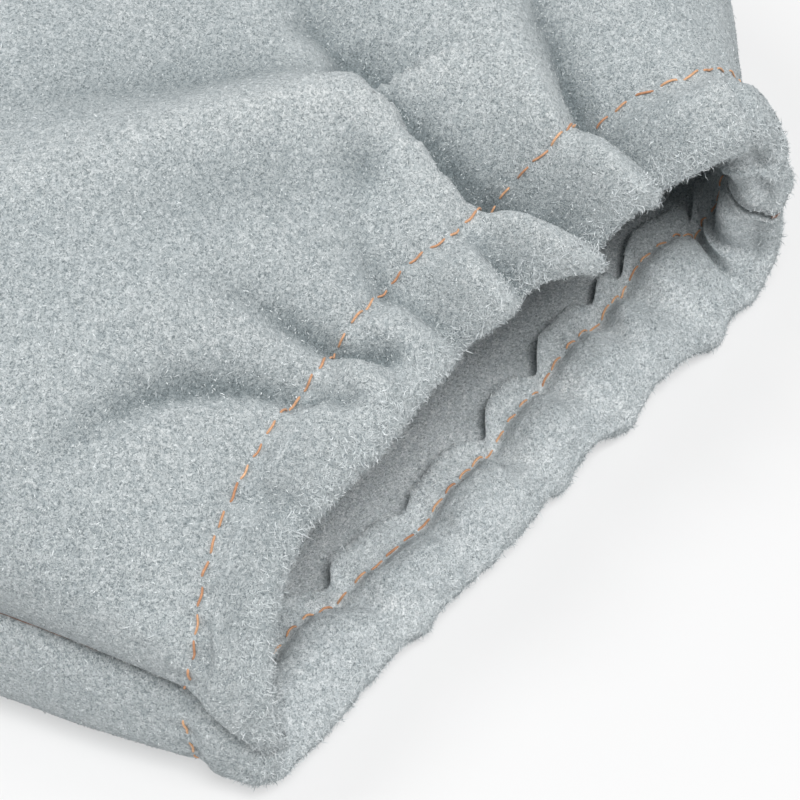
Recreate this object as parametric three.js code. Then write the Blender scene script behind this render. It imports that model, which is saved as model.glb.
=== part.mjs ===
// Welding sleeve of split-cowhide suede, gathered by elastic at the wrist and at the arm.
// It lies on its wide underside. Millimetres, +Z up, wrist opening towards -Y, arm end towards +Y.
import * as THREE from 'three';

// Leather and clearances
const LEATHER = 1.5;
const GAP = 0.3;

// Overall sizes, measured to the outside of the leather
const SLEEVE_LENGTH = 400;
const WRIST_WIDTH = 116.5;
const WRIST_HEIGHT = 37.5;
const BODY_WIDTH = 199.5;
const BODY_HEIGHT = 64;
const ARM_WIDTH = 149.5;
const ARM_HEIGHT = 48;
const SEAM_HEIGHT = 22;

// How far the gathers let the leather open out, from each end
const WRIST_FLARE = 140;
const ARM_FLARE = 90;

// Hems: rim to stitch line, raw edge beyond the stitches, elastic in between
const HEM_DEPTH = 13;
const HEM_FLAP = 3.6;
const ELASTIC_WIDTH = 6.5;
const ELASTIC_THICKNESS = 1;
const ELASTIC_FROM_RIM = 3.2;
const RIM_LAG = 9.5;
const CORNER_ROUND = 1.4;
const CORNER_ROUND_WIDTH = 5.5;
const SIDE_BULGE = 2.2;

// Where along the rim these act, as shares of the way from the near seam to the far seam
const RIM_BOW_RANGE = [0.05, 0.88];
const RIM_BOW_LOSS = 0.45;
const RIM_BOW_LOSS_RANGE = [0.58, 0.88];
const NEAR_CORNER_PLACE = 0.045;
const FAR_CORNER_RANGE = [0.75, 0.95];
const FAR_CORNER_SHARE = 0.8;
const CORNER_FADE_RANGE = [0, 0.02];
const CORNER_ROUND_HEMS = 3;

// Folds and seams
const FOLD_DEPTH = 10;
const FOLD_WIDTH = 5;
const SEAM_CREASE = 2.4;
const SEAM_CREASE_WIDTH = 3;
const PULL = 0.42;
const ARM_FOLD_LENGTH = 60;

// How the section opens from the wrist to the body: all but the first column are shares of the
// way from the wrist size to the body size, and the last two are shares of the seam height.
const WRIST_SECTIONS = [
  { along: 0, near: 0, far: 0, crown: 0, nearSeam: 0.42, farSeam: 0.85 },
  { along: 0.045, near: 0.015, far: 0.02, crown: 0.07, nearSeam: 0.7, farSeam: 0.87 },
  { along: 0.093, near: 0.07, far: 0.12, crown: 0.12, nearSeam: 0.8, farSeam: 0.9 },
  { along: 0.25, near: 0.27, far: 0.62, crown: 0.64, nearSeam: 0.95, farSeam: 0.95 },
  { along: 0.46, near: 0.56, far: 0.86, crown: 0.9, nearSeam: 1, farSeam: 1 },
  { along: 0.71, near: 0.83, far: 0.97, crown: 1, nearSeam: 1, farSeam: 1 },
  { along: 1, near: 1, far: 1, crown: 1, nearSeam: 1, farSeam: 1 },
];

// The same from the arm end, where the hem is evenly gathered.
const ARM_SECTIONS = [
  { along: 0, near: 0, far: 0, crown: 0, nearSeam: 0.75, farSeam: 0.75 },
  { along: 0.15, near: 0.12, far: 0.12, crown: 0.15, nearSeam: 0.8, farSeam: 0.8 },
  { along: 0.4, near: 0.5, far: 0.5, crown: 0.5, nearSeam: 0.9, farSeam: 0.9 },
  { along: 0.7, near: 0.86, far: 0.86, crown: 0.88, nearSeam: 1, farSeam: 1 },
  { along: 1, near: 1, far: 1, crown: 1, nearSeam: 1, farSeam: 1 },
];

// Hem at the wrist: along is a share of the panel's width from the near seam; rim is how far the
// rim stands back there, and stitches how far the stitch line comes forward, as shares of HEM_DEPTH.
const HEM_LINES = {
  top: [
    { along: 0, rim: 0, stitches: 0.2 },
    { along: 0.035, rim: 0, stitches: 0.38 },
    { along: 0.07, rim: 0, stitches: 0.45 },
    { along: 0.12, rim: 0, stitches: 0.44 },
    { along: 0.2, rim: 0, stitches: 0.34 },
    { along: 0.3, rim: -0.08, stitches: 0.2 },
    { along: 0.4, rim: 0, stitches: 0.05 },
    { along: 0.45, rim: 0.05, stitches: 0.02 },
    { along: 0.5, rim: -0.05, stitches: 0.18 },
    { along: 0.54, rim: 0, stitches: 0.15 },
    { along: 0.6, rim: -0.38, stitches: 0.02 },
    { along: 0.65, rim: -0.14, stitches: 0.18 },
    { along: 0.7, rim: -0.2, stitches: 0.06 },
    { along: 0.75, rim: 0.05, stitches: 0.04 },
    { along: 0.82, rim: -0.08, stitches: 0.3 },
    { along: 0.9, rim: 0, stitches: 0.24 },
    { along: 1, rim: 0, stitches: 0.19 },
  ],
  bottom: [
    { along: 0, rim: 0, stitches: 0.2 },
    { along: 0.035, rim: -0.12, stitches: 0.38 },
    { along: 0.07, rim: -0.05, stitches: 0.45 },
    { along: 0.12, rim: -0.1, stitches: 0.38 },
    { along: 0.2, rim: -0.02, stitches: 0.17 },
    { along: 0.25, rim: 0, stitches: 0.12 },
    { along: 0.34, rim: -0.05, stitches: 0.29 },
    { along: 0.45, rim: -0.08, stitches: 0.24 },
    { along: 0.55, rim: 0, stitches: 0.1 },
    { along: 0.62, rim: 0, stitches: 0 },
    { along: 0.7, rim: 0, stitches: -0.04 },
    { along: 0.76, rim: -0.05, stitches: -0.15 },
    { along: 0.85, rim: 0, stitches: 0 },
    { along: 1, rim: 0, stitches: 0.19 },
  ],
};

// Folds at the wrist. Each runs on a curve set by four points of a panel: across is a share of
// the panel's width from the near seam, along a share of the wrist flare. Depth and the width of
// each side are shares of FOLD_DEPTH and FOLD_WIDTH, start is the strength at the first point and
// hold the share of the run before it fades. A negative depth is a ridge.
const TOP_FOLDS = [
  // wrinkles beside the near seam
  { from: [0.1, -0.03], by: [0.115, 0.03], then: [0.12, 0.06], to: [0.115, 0.13],
    depth: 0.12, left: 0.6, right: 0.6, start: 0.5, hold: 0.4 },
  { from: [0.045, 0.075], by: [0.06, 0.07], then: [0.075, 0.06], to: [0.1, 0.055],
    depth: 0.18, left: 0.5, right: 0.5, start: 0.6, hold: 0.4 },
  { from: [0.215, -0.03], by: [0.205, 0.04], then: [0.195, 0.09], to: [0.19, 0.16],
    depth: 0.26, left: 0.9, right: 0.9, start: 1, hold: 0.3 },
  // long arc that leaves the stitches and turns towards the near side
  { from: [0.31, 0.04], by: [0.27, 0.16], then: [0.2, 0.21], to: [0.08, 0.26],
    depth: 0.46, left: 0.36, right: 0.6, start: 0.75, hold: 0.45 },
  // strong fold that starts at the stitches
  { from: [0.375, 0.035], by: [0.345, 0.1], then: [0.32, 0.17], to: [0.27, 0.26],
    depth: 0.6, left: 0.32, right: 0.5, start: 0.9, hold: 0.3 },
  // first lobe of the rim
  { from: [0.33, -0.03], by: [0.33, 0.01], then: [0.325, 0.04], to: [0.32, 0.08],
    depth: -0.2, left: 1, right: 1, start: 1, hold: 0.4 },
  // short gathers through the rim, with the lobe between them
  { from: [0.455, -0.03], by: [0.43, 0.06], then: [0.42, 0.12], to: [0.43, 0.19],
    depth: 0.5, left: 0.5, right: 0.6, start: 0.75, hold: 0.4 },
  { from: [0.495, -0.03], by: [0.49, 0.01], then: [0.485, 0.04], to: [0.48, 0.1],
    depth: -0.22, left: 0.6, right: 0.6, start: 1, hold: 0.4 },
  { from: [0.535, -0.03], by: [0.525, 0.03], then: [0.52, 0.08], to: [0.51, 0.16],
    depth: 0.6, left: 0.5, right: 0.6, start: 0.8, hold: 0.4 },
  // dimple above them
  { from: [0.455, 0.19], by: [0.46, 0.18], then: [0.47, 0.175], to: [0.485, 0.16],
    depth: 0.25, left: 0.7, right: 0.7, start: 0.8, hold: 0.5 },
  // the deep groove, and the ridge that stands over it
  { from: [0.63, -0.03], by: [0.625, 0.11], then: [0.42, 0.14], to: [0.56, 0.52],
    depth: 1.35, left: 0.4, right: 0.95, start: 0.35, hold: 0.55 },
  { from: [0.59, -0.03], by: [0.565, 0.06], then: [0.47, 0.14], to: [0.5, 0.45],
    depth: -0.4, left: 1.3, right: 0.5, start: 0.5, hold: 0.5 },
  // lobe of the rim beyond the groove
  { from: [0.68, -0.03], by: [0.67, 0.09], then: [0.62, 0.17], to: [0.6, 0.34],
    depth: -0.45, left: 0.8, right: 0.8, start: 1, hold: 0.4 },
  // long soft fold beyond it, and the last lobe
  { from: [0.735, -0.03], by: [0.75, 0.09], then: [0.67, 0.14], to: [0.65, 0.4],
    depth: 0.95, left: 0.5, right: 1.1, start: 0.8, hold: 0.35 },
  { from: [0.82, -0.03], by: [0.82, 0.04], then: [0.815, 0.1], to: [0.8, 0.2],
    depth: -0.4, left: 1, right: 1, start: 1, hold: 0.3 },
  // fold beside the far seam
  { from: [0.935, -0.03], by: [0.93, 0.06], then: [0.91, 0.16], to: [0.88, 0.36],
    depth: 0.4, left: 0.8, right: 1, start: 0.6, hold: 0.4 },
  // crest of the bulge at the wrist, the dip behind it and the one before it
  { from: [0.475, 0.235], by: [0.41, 0.28], then: [0.33, 0.35], to: [0.2, 0.5],
    depth: -0.35, left: 0.7, right: 1.6, start: 0.6, hold: 0.5 },
  { from: [0.49, 0.3], by: [0.44, 0.34], then: [0.38, 0.42], to: [0.25, 0.58],
    depth: 0.6, left: 1.2, right: 3, start: 0.9, hold: 0.4 },
  { from: [0.42, 0.19], by: [0.37, 0.23], then: [0.33, 0.29], to: [0.25, 0.36],
    depth: 0.2, left: 1.6, right: 1.6, start: 0.5, hold: 0.4 },
];

const BOTTOM_FOLDS = [
  // the hem stands up a little from what it lies on
  { from: [0.12, 0.045], by: [0.35, 0.045], then: [0.65, 0.045], to: [0.94, 0.045],
    depth: 0.4, left: 2.6, right: 2.6, start: 0.4, hold: 0.8 },
  // wrinkle in the near corner
  { from: [0.12, -0.03], by: [0.12, 0.03], then: [0.12, 0.06], to: [0.11, 0.14],
    depth: 0.15, left: 0.8, right: 0.8, start: 0.7, hold: 0.4 },
  // gathers through the hem, each drawn down between two lobes
  { from: [0.31, -0.01], by: [0.285, 0.05], then: [0.283, 0.09], to: [0.28, 0.14],
    depth: -0.3, left: 0.5, right: 0.5, start: 0.5, hold: 0.35 },
  { from: [0.385, 0], by: [0.395, 0.05], then: [0.405, 0.08], to: [0.41, 0.13],
    depth: -0.22, left: 0.5, right: 0.5, start: 0.5, hold: 0.35 },
  { from: [0.53, -0.01], by: [0.505, 0.06], then: [0.505, 0.09], to: [0.51, 0.14],
    depth: -0.34, left: 0.5, right: 0.5, start: 0.5, hold: 0.35 },
  { from: [0.65, -0.03], by: [0.61, 0.05], then: [0.595, 0.09], to: [0.58, 0.14],
    depth: -0.36, left: 0.6, right: 0.6, start: 0.6, hold: 0.35 },
  { from: [0.7, 0.03], by: [0.695, 0.07], then: [0.69, 0.1], to: [0.69, 0.14],
    depth: -0.25, left: 0.45, right: 0.45, start: 0.5, hold: 0.35 },
  { from: [0.805, -0.03], by: [0.77, 0.05], then: [0.74, 0.09], to: [0.72, 0.14],
    depth: -0.36, left: 0.6, right: 0.6, start: 0.6, hold: 0.35 },
  { from: [0.87, -0.03], by: [0.86, 0.04], then: [0.85, 0.08], to: [0.84, 0.13],
    depth: -0.22, left: 0.5, right: 0.5, start: 0.5, hold: 0.35 },
];

// Gathers at the arm end: across as above, depth a share of FOLD_DEPTH, reach of ARM_FOLD_LENGTH.
const TOP_ARM_FOLDS = [
  { across: 0.08, depth: 0.44, reach: 0.9 },
  { across: 0.17, depth: 0.32, reach: 1.1 },
  { across: 0.3, depth: 0.52, reach: 0.7 },
  { across: 0.4, depth: 0.36, reach: 1 },
  { across: 0.52, depth: 0.56, reach: 1.2 },
  { across: 0.62, depth: 0.34, reach: 0.8 },
  { across: 0.74, depth: 0.5, reach: 1 },
  { across: 0.83, depth: 0.38, reach: 0.8 },
  { across: 0.93, depth: 0.46, reach: 1.1 },
];
const BOTTOM_ARM_FOLDS = [
  { across: 0.07, depth: 0.36, reach: 0.8 },
  { across: 0.2, depth: 0.46, reach: 1 },
  { across: 0.36, depth: 0.34, reach: 0.7 },
  { across: 0.5, depth: 0.52, reach: 1.1 },
  { across: 0.65, depth: 0.36, reach: 0.8 },
  { across: 0.79, depth: 0.48, reach: 1 },
  { across: 0.93, depth: 0.36, reach: 0.7 },
];
const ARM_FOLD_START = 0.7;
const ARM_FOLD_HOLD = 0.35;
const ARM_FOLD_SIDE = 0.9;

// How finely the surfaces are divided
const TOP_COLUMNS = 36;
const BOTTOM_COLUMNS = 26;
const FOLD_STEPS = 12;
const FOLD_RISE_RANGE = [0, 0.3];
const FOLD_BLEND = 2.5;
const GROOVE_POWER = 1.5;
const SIDE_STEPS = 120;

// Rows of the body: shares of the way from each flap's edge to the end of its flare, and of the
// straight part between the flares
const WRIST_ROWS = [0, 0.05, 0.11, 0.18, 0.26, 0.35, 0.46, 0.6, 0.78];
const BODY_ROWS = [0, 0.5, 1];
const ARM_ROWS = [0.7, 0.42, 0.2, 0];

const HALF = 0.5;

// Smooth step from 0 at a to 1 at b
function ease(a, b, x) {
  const t = Math.min(Math.max((x - a) / (b - a), 0), 1);
  return t * t * (3 - 2 * t);
}

function mix(a, b, t) {
  return a + (b - a) * t;
}

// Smooth curve through one column of a section table, with no overshoot
function along(table, column, share) {
  const last = table.length - 1;
  const x = table.map((row) => row.along);
  const v = table.map((row) => row[column]);
  const slope = (i) => (v[i + 1] - v[i]) / (x[i + 1] - x[i]);
  const tangent = (i) => {
    if (i === 0) return slope(0);
    if (i === last) return 0;
    const before = slope(i - 1);
    const after = slope(i);
    if (before * after <= 0) return 0;
    const middle = (v[i + 1] - v[i - 1]) / (x[i + 1] - x[i - 1]);
    return Math.sign(middle) * Math.min(Math.abs(middle), 3 * Math.min(Math.abs(before), Math.abs(after)));
  };
  const s = Math.min(Math.max(share, 0), 1);
  let i = 0;
  while (i < last - 1 && s > x[i + 1]) i += 1;
  const h = x[i + 1] - x[i];
  const t = (s - x[i]) / h;
  const rise = (2 * t ** 3 - 3 * t ** 2 + 1) * v[i] + (3 * t ** 2 - 2 * t ** 3) * v[i + 1];
  return rise + h * ((t ** 3 - 2 * t ** 2 + t) * tangent(i) + (t ** 3 - t ** 2) * tangent(i + 1));
}

// Half widths, crown height and seam heights at a distance y from the wrist rim
function sectionAt(y) {
  const wrist = (column) => along(WRIST_SECTIONS, column, y / WRIST_FLARE);
  const arm = (column) => along(ARM_SECTIONS, column, (SLEEVE_LENGTH - y) / ARM_FLARE);
  const size = (column, atWrist, atBody, atArm) => atBody
    - (atBody - atWrist) * (1 - wrist(column)) - (atBody - atArm) * (1 - arm(column));
  const half = (width) => (width - LEATHER) / 2;
  return {
    near: size('near', half(WRIST_WIDTH), half(BODY_WIDTH), half(ARM_WIDTH)),
    far: size('far', half(WRIST_WIDTH), half(BODY_WIDTH), half(ARM_WIDTH)),
    crown: size('crown', WRIST_HEIGHT, BODY_HEIGHT, ARM_HEIGHT) - LEATHER / 2,
    nearSeam: SEAM_HEIGHT * wrist('nearSeam') * arm('nearSeam'),
    farSeam: SEAM_HEIGHT * wrist('farSeam') * arm('farSeam'),
  };
}

// Shape of the section: how square the arch is, and how much higher its far side stands
const ARCH_POWER = 0.62;
const ARCH_WRIST_NEAR = 0.1;
const ARCH_WRIST_FAR = -0.26;
const WRIST_LEAN = 0.13;
const WRIST_LEAN_RANGE = [0.35, 0.9];
const CORNER_SHARE = 0.16;
const CORNER_REACH = 0.34;

// Smooth section of a panel without its folds; f runs from the near seam to the far seam
function smoothPoint(panel, f, y) {
  const s = sectionAt(y);
  const atWrist = 1 - ease(0, WRIST_FLARE / 2, y);
  const seam = mix(s.nearSeam, s.farSeam, ease(0, 1, f));
  if (panel === 'top') {
    const angle = Math.PI * Math.min(Math.max(f, 1e-4), 1 - 1e-4);
    const power = ARCH_POWER + atWrist * mix(ARCH_WRIST_NEAR, ARCH_WRIST_FAR, f);
    const crown = s.crown * (1 + WRIST_LEAN * atWrist * ease(...WRIST_LEAN_RANGE, f));
    const foot = seam + GAP / 2;
    return {
      x: (s.far - s.near) / 2 - ((s.far + s.near) / 2) * Math.cos(angle),
      z: foot + (crown - foot) * Math.sin(angle) ** power,
    };
  }
  const reach = SEAM_HEIGHT * CORNER_REACH;
  const floor = LEATHER / 2;
  const side = Math.min(f, 1 - f) / CORNER_SHARE;
  if (side >= 1) {
    const middle = (f - CORNER_SHARE) / (1 - 2 * CORNER_SHARE);
    return { x: mix(reach - s.near, s.far - reach, middle), z: floor };
  }
  const angle = (side * Math.PI) / 2;
  const inset = reach * (1 - Math.cos(angle)) - SIDE_BULGE * Math.sin(2 * angle) ** 2;
  const top = (f < HALF ? s.nearSeam : s.farSeam) - GAP / 2 - floor;
  return {
    x: f < HALF ? inset - s.near : s.far - inset,
    z: floor + top * (1 - Math.sin(angle)),
  };
}

// Even steps round a panel: a table from the share of its girth to f, taken at the stitch line
function girthTable(panel) {
  const table = [{ f: 0, length: 0 }];
  let before = smoothPoint(panel, 0, HEM_DEPTH);
  for (let i = 1; i <= SIDE_STEPS; i += 1) {
    const f = i / SIDE_STEPS;
    const point = smoothPoint(panel, f, HEM_DEPTH);
    const step = Math.hypot(point.x - before.x, point.z - before.z);
    table.push({ f, length: table[i - 1].length + step });
    before = point;
  }
  return table;
}

const GIRTHS = { top: girthTable('top'), bottom: girthTable('bottom') };

function girth(panel) {
  return GIRTHS[panel][SIDE_STEPS].length;
}

function sideAt(panel, p) {
  const table = GIRTHS[panel];
  const goal = Math.min(Math.max(p, 0), 1) * girth(panel);
  let i = 0;
  while (i < SIDE_STEPS - 1 && table[i + 1].length < goal) i += 1;
  const t = (goal - table[i].length) / (table[i + 1].length - table[i].length);
  return mix(table[i].f, table[i + 1].f, t);
}

// Outward direction of the smooth section
function outward(panel, f, y) {
  const step = 1e-3;
  const a = smoothPoint(panel, Math.max(f - step, 0), y);
  const b = smoothPoint(panel, Math.min(f + step, 1), y);
  const length = Math.hypot(b.x - a.x, b.z - a.z);
  const turn = panel === 'top' ? 1 : -1;
  return { x: (-turn * (b.z - a.z)) / length, z: (turn * (b.x - a.x)) / length };
}

// Depth of one fold at a place of its panel, in millimetres of girth u and length y
function foldDepth(fold, width, u, y) {
  const at = (t) => {
    const s = 1 - t;
    const weights = [s ** 3, 3 * t * s ** 2, 3 * t ** 2 * s, t ** 3];
    const points = [fold.from, fold.by, fold.then, fold.to];
    const sum = (axis) => points.reduce((total, point, i) => total + weights[i] * point[axis], 0);
    return { u: sum(0) * width, y: sum(1) * WRIST_FLARE };
  };
  let nearest = { distance: Infinity, side: 0 };
  const steps = [];
  let a = at(0);
  for (let i = 0; i < FOLD_STEPS; i += 1) {
    const b = at((i + 1) / FOLD_STEPS);
    const du = b.u - a.u;
    const dy = b.y - a.y;
    const t = Math.min(Math.max(((u - a.u) * du + (y - a.y) * dy) / (du * du + dy * dy), 0), 1);
    const distance = Math.hypot(u - a.u - t * du, y - a.y - t * dy);
    if (distance < nearest.distance) {
      nearest = { distance, side: (u - a.u) * dy - (y - a.y) * du };
    }
    steps.push({ distance, share: (i + t) / FOLD_STEPS });
    a = b;
  }
  const wide = FOLD_WIDTH * (nearest.side > 0 ? fold.right : fold.left);
  let total = 0;
  let weights = 0;
  for (const { distance, share } of steps) {
    const strength = mix(fold.start, 1, ease(...FOLD_RISE_RANGE, share)) * (1 - ease(fold.hold, 1, share));
    const weight = Math.exp((nearest.distance - distance) / FOLD_BLEND);
    total += weight * strength * groove(distance / (wide * (1 + share / 2)));
    weights += weight;
  }
  return (FOLD_DEPTH * fold.depth * total) / weights;
}

// Profile of a groove: rounded at its bottom, dying away to the sides
function groove(distance) {
  return Math.exp(-(distance ** GROOVE_POWER));
}

const FOLDS = {
  top: { wrist: TOP_FOLDS, arm: TOP_ARM_FOLDS },
  bottom: { wrist: BOTTOM_FOLDS, arm: BOTTOM_ARM_FOLDS },
};

function depthAt(panel, p, y) {
  const width = girth(panel);
  const u = p * width;
  let depth = 0;
  for (const fold of FOLDS[panel].wrist) depth += foldDepth(fold, width, u, y);
  for (const fold of FOLDS[panel].arm) {
    const reach = (ARM_FOLD_LENGTH * fold.reach) / WRIST_FLARE;
    const run = {
      from: [fold.across, 0],
      by: [fold.across, reach / 4],
      then: [fold.across, reach / 2],
      to: [fold.across, reach],
      depth: fold.depth, left: ARM_FOLD_SIDE, right: ARM_FOLD_SIDE,
      start: ARM_FOLD_START, hold: ARM_FOLD_HOLD,
    };
    depth += foldDepth(run, width, u, SLEEVE_LENGTH - y);
  }
  const fromSeam = Math.min(p, 1 - p) * width;
  return depth * ease(0, FOLD_WIDTH, fromSeam);
}

// A point of the leather, a distance "out" outside the middle of the outer wall
function leatherPoint(panel, p, y, out) {
  const f = sideAt(panel, p);
  const base = smoothPoint(panel, f, y);
  const normal = outward(panel, f, y);
  const width = girth(panel);
  const depth = depthAt(panel, p, y);
  const crease = SEAM_CREASE * (Math.exp((-p * width) / SEAM_CREASE_WIDTH)
    + Math.exp((-(1 - p) * width) / SEAM_CREASE_WIDTH));
  const offset = out - depth - crease;
  let back = PULL * depth * (1 - ease(0, 2 * HEM_DEPTH, y));
  const toStitches = ease(0, HEM_DEPTH, y);
  back += HEM_DEPTH * along(HEM_LINES[panel], 'rim', p) * (1 - toStitches);
  const forward = HEM_DEPTH * along(HEM_LINES[panel], 'stitches', p) * toStitches;
  back -= forward * (1 - ease(HEM_DEPTH, WRIST_FLARE / 2, y));
  if (panel === 'top') {
    const bow = ease(...RIM_BOW_RANGE, Math.sin(Math.PI * f))
      * (1 - RIM_BOW_LOSS * ease(...RIM_BOW_LOSS_RANGE, f));
    back += RIM_LAG * bow * (1 - ease(0, WRIST_FLARE / 2, y));
  } else {
    const fromCorner = ((p - NEAR_CORNER_PLACE) * width) / CORNER_ROUND_WIDTH;
    const rounding = Math.exp(-(fromCorner ** 2)) + FAR_CORNER_SHARE * ease(...FAR_CORNER_RANGE, p);
    const fade = ease(...CORNER_FADE_RANGE, Math.min(p, 1 - p));
    back += CORNER_ROUND * rounding * fade * (1 - ease(0, CORNER_ROUND_HEMS * HEM_DEPTH, y));
  }
  return [base.x + normal.x * offset, y + back, base.z + normal.z * offset];
}

// Hem in profile, from the raw edge of the turned-in flap, round the rim, to the stitch line:
// rim is the distance from the rim, out the distance outside the middle of the outer wall, and
// turn the way the leather's outer side faces, 0 outwards and half a turn inwards.
const HEM_SPACING = LEATHER + ELASTIC_THICKNESS + 2 * GAP;
const STITCHED_SPACING = LEATHER + GAP;
const RIM_RADIUS = LEATHER / 2 + GAP;
const ELASTIC_END = ELASTIC_FROM_RIM + ELASTIC_WIDTH;
const RIM_STEPS = 4;

function hemRows() {
  const rows = [
    { rim: HEM_DEPTH + HEM_FLAP, out: -STITCHED_SPACING - GAP, turn: Math.PI },
    { rim: HEM_DEPTH, out: -STITCHED_SPACING, turn: Math.PI },
    { rim: ELASTIC_END, out: -HEM_SPACING, turn: Math.PI },
    { rim: ELASTIC_FROM_RIM, out: -HEM_SPACING, turn: Math.PI },
  ];
  for (let i = 0; i <= RIM_STEPS; i += 1) {
    const turn = Math.PI * (1 - i / RIM_STEPS);
    rows.push({
      rim: RIM_RADIUS * (1 - Math.sin(turn)),
      out: RIM_RADIUS * (Math.cos(turn) - 1),
      turn,
    });
  }
  for (const rim of [ELASTIC_FROM_RIM, ELASTIC_END, HEM_DEPTH]) rows.push({ rim, out: 0, turn: 0 });
  return rows;
}

// Rows of a panel from one raw edge to the other; way is 1 at the wrist hem and -1 at the arm hem
function panelRows() {
  const hem = hemRows();
  const wrist = hem.map((row) => ({ y: row.rim, way: 1, out: row.out, turn: row.turn }));
  const arm = hem.map((row) => ({ y: SLEEVE_LENGTH - row.rim, way: -1, out: row.out, turn: row.turn }));
  const hemEnd = HEM_DEPTH + HEM_FLAP;
  const places = [
    ...WRIST_ROWS.map((share) => mix(hemEnd, WRIST_FLARE, share)),
    ...BODY_ROWS.map((share) => mix(WRIST_FLARE, SLEEVE_LENGTH - ARM_FLARE, share)),
    ...ARM_ROWS.map((share) => SLEEVE_LENGTH - mix(hemEnd, ARM_FLARE, share)),
  ];
  const body = places.map((y) => ({ y, way: 1, out: 0, turn: 0 }));
  return [...wrist, ...body, ...arm.reverse()];
}

// Closed solid between two grids of points, [row][column]. The cells are split the same way by
// place, so that layers that lie on each other stay parallel.
function solidBetween(outer, inner, rowPlaces, columnPlaces, closed) {
  const columns = columnPlaces.length;
  const rows = rowPlaces.length;
  const faces = [];
  const at = (layer, i, j) => (layer * rows + i) * columns + (j % columns);
  const quad = (a, b, c, d, otherWay) => {
    if (otherWay) faces.push(a, b, d, b, c, d);
    else faces.push(a, b, c, a, c, d);
  };
  const lastColumn = closed ? columns : columns - 1;
  for (let i = 0; i < rows - 1; i += 1) {
    const backwards = rowPlaces[i + 1] < rowPlaces[i];
    for (let j = 0; j < lastColumn; j += 1) {
      const reversed = columnPlaces[(j + 1) % columns] < columnPlaces[j];
      const otherWay = backwards !== reversed;
      quad(at(0, i, j), at(0, i, j + 1), at(0, i + 1, j + 1), at(0, i + 1, j), otherWay);
      quad(at(1, i, j), at(1, i + 1, j), at(1, i + 1, j + 1), at(1, i, j + 1), otherWay);
    }
  }
  for (let j = 0; j < lastColumn; j += 1) {
    quad(at(0, 0, j), at(1, 0, j), at(1, 0, j + 1), at(0, 0, j + 1), false);
    quad(at(0, rows - 1, j + 1), at(1, rows - 1, j + 1), at(1, rows - 1, j), at(0, rows - 1, j), false);
  }
  if (!closed) {
    for (let i = 0; i < rows - 1; i += 1) {
      quad(at(0, i + 1, 0), at(1, i + 1, 0), at(1, i, 0), at(0, i, 0), false);
      quad(at(0, i, lastColumn), at(1, i, lastColumn), at(1, i + 1, lastColumn),
        at(0, i + 1, lastColumn), false);
    }
  }
  const geometry = new THREE.BufferGeometry();
  const positions = [outer, inner].flat(3);
  geometry.setAttribute('position', new THREE.Float32BufferAttribute(positions, 3));
  geometry.setIndex(faces);
  geometry.computeVertexNormals();
  return geometry;
}

// Evenly spread shares of each panel's girth: together they go once round the sleeve
function columnsOf(panel) {
  const count = panel === 'top' ? TOP_COLUMNS : BOTTOM_COLUMNS;
  const shares = Array.from({ length: count + 1 }, (unused, i) => i / count);
  return panel === 'top' ? shares : shares.reverse();
}

function panelGeometry(panel) {
  const rows = panelRows();
  const columns = columnsOf(panel);
  const layer = (side) => rows.map((row) => columns.map((p) => {
    const reach = (side * LEATHER) / 2;
    return leatherPoint(panel, p, row.y - row.way * reach * Math.sin(row.turn),
      row.out + reach * Math.cos(row.turn));
  }));
  return solidBetween(layer(1), layer(-1), rows.map((row) => row.y), columns, false);
}

// Band that runs right round in the channel of a hem, under both panels
function elasticGeometry(atWrist) {
  const round = ['top', 'bottom'].flatMap((panel) => columnsOf(panel).map((p) => ({ panel, p })));
  const edges = [ELASTIC_FROM_RIM, ELASTIC_END];
  const rows = atWrist ? edges : edges.map((rim) => SLEEVE_LENGTH - rim).reverse();
  const layer = (side) => rows.map((y) => round.map(({ panel, p }) => (
    leatherPoint(panel, p, y, (side * ELASTIC_THICKNESS - HEM_SPACING) / 2))));
  return solidBetween(layer(1), layer(-1), rows, round.map(({ p }) => p), true);
}

const suede = new THREE.MeshStandardMaterial({ color: 0xb4bec0, roughness: 0.95, metalness: 0 });
const elastic = new THREE.MeshStandardMaterial({ color: 0xe6e4dc, roughness: 0.8, metalness: 0 });

const sleeve = new THREE.Group();

function addPiece(name, geometry, material) {
  const mesh = new THREE.Mesh(geometry, material);
  mesh.name = name;
  sleeve.add(mesh);
}

addPiece('top_panel', panelGeometry('top'), suede);
addPiece('bottom_panel', panelGeometry('bottom'), suede);
addPiece('wrist_elastic', elasticGeometry(true), elastic);
addPiece('arm_elastic', elasticGeometry(false), elastic);

// The origin is under the middle of the sleeve, on the surface it lies on.
const middle = new THREE.Box3().setFromObject(sleeve).getCenter(new THREE.Vector3());
for (const mesh of sleeve.children) mesh.position.set(-middle.x, -middle.y, 0);

export default sleeve;
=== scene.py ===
import math

import bpy
import numpy as np
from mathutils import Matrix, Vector


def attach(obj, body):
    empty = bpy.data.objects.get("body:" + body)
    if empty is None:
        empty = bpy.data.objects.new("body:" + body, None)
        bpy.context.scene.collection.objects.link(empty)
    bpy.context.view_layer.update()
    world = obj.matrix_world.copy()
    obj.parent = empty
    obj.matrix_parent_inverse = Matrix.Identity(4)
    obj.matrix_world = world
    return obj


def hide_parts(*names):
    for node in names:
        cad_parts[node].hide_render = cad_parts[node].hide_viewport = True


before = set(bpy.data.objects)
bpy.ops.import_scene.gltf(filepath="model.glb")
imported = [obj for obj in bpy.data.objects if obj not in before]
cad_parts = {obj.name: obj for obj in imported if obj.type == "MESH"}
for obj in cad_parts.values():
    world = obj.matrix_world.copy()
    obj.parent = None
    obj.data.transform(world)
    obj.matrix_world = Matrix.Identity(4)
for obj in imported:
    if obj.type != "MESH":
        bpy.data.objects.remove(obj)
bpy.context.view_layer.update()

MM = 0.001
rng = np.random.default_rng(11)

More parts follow.
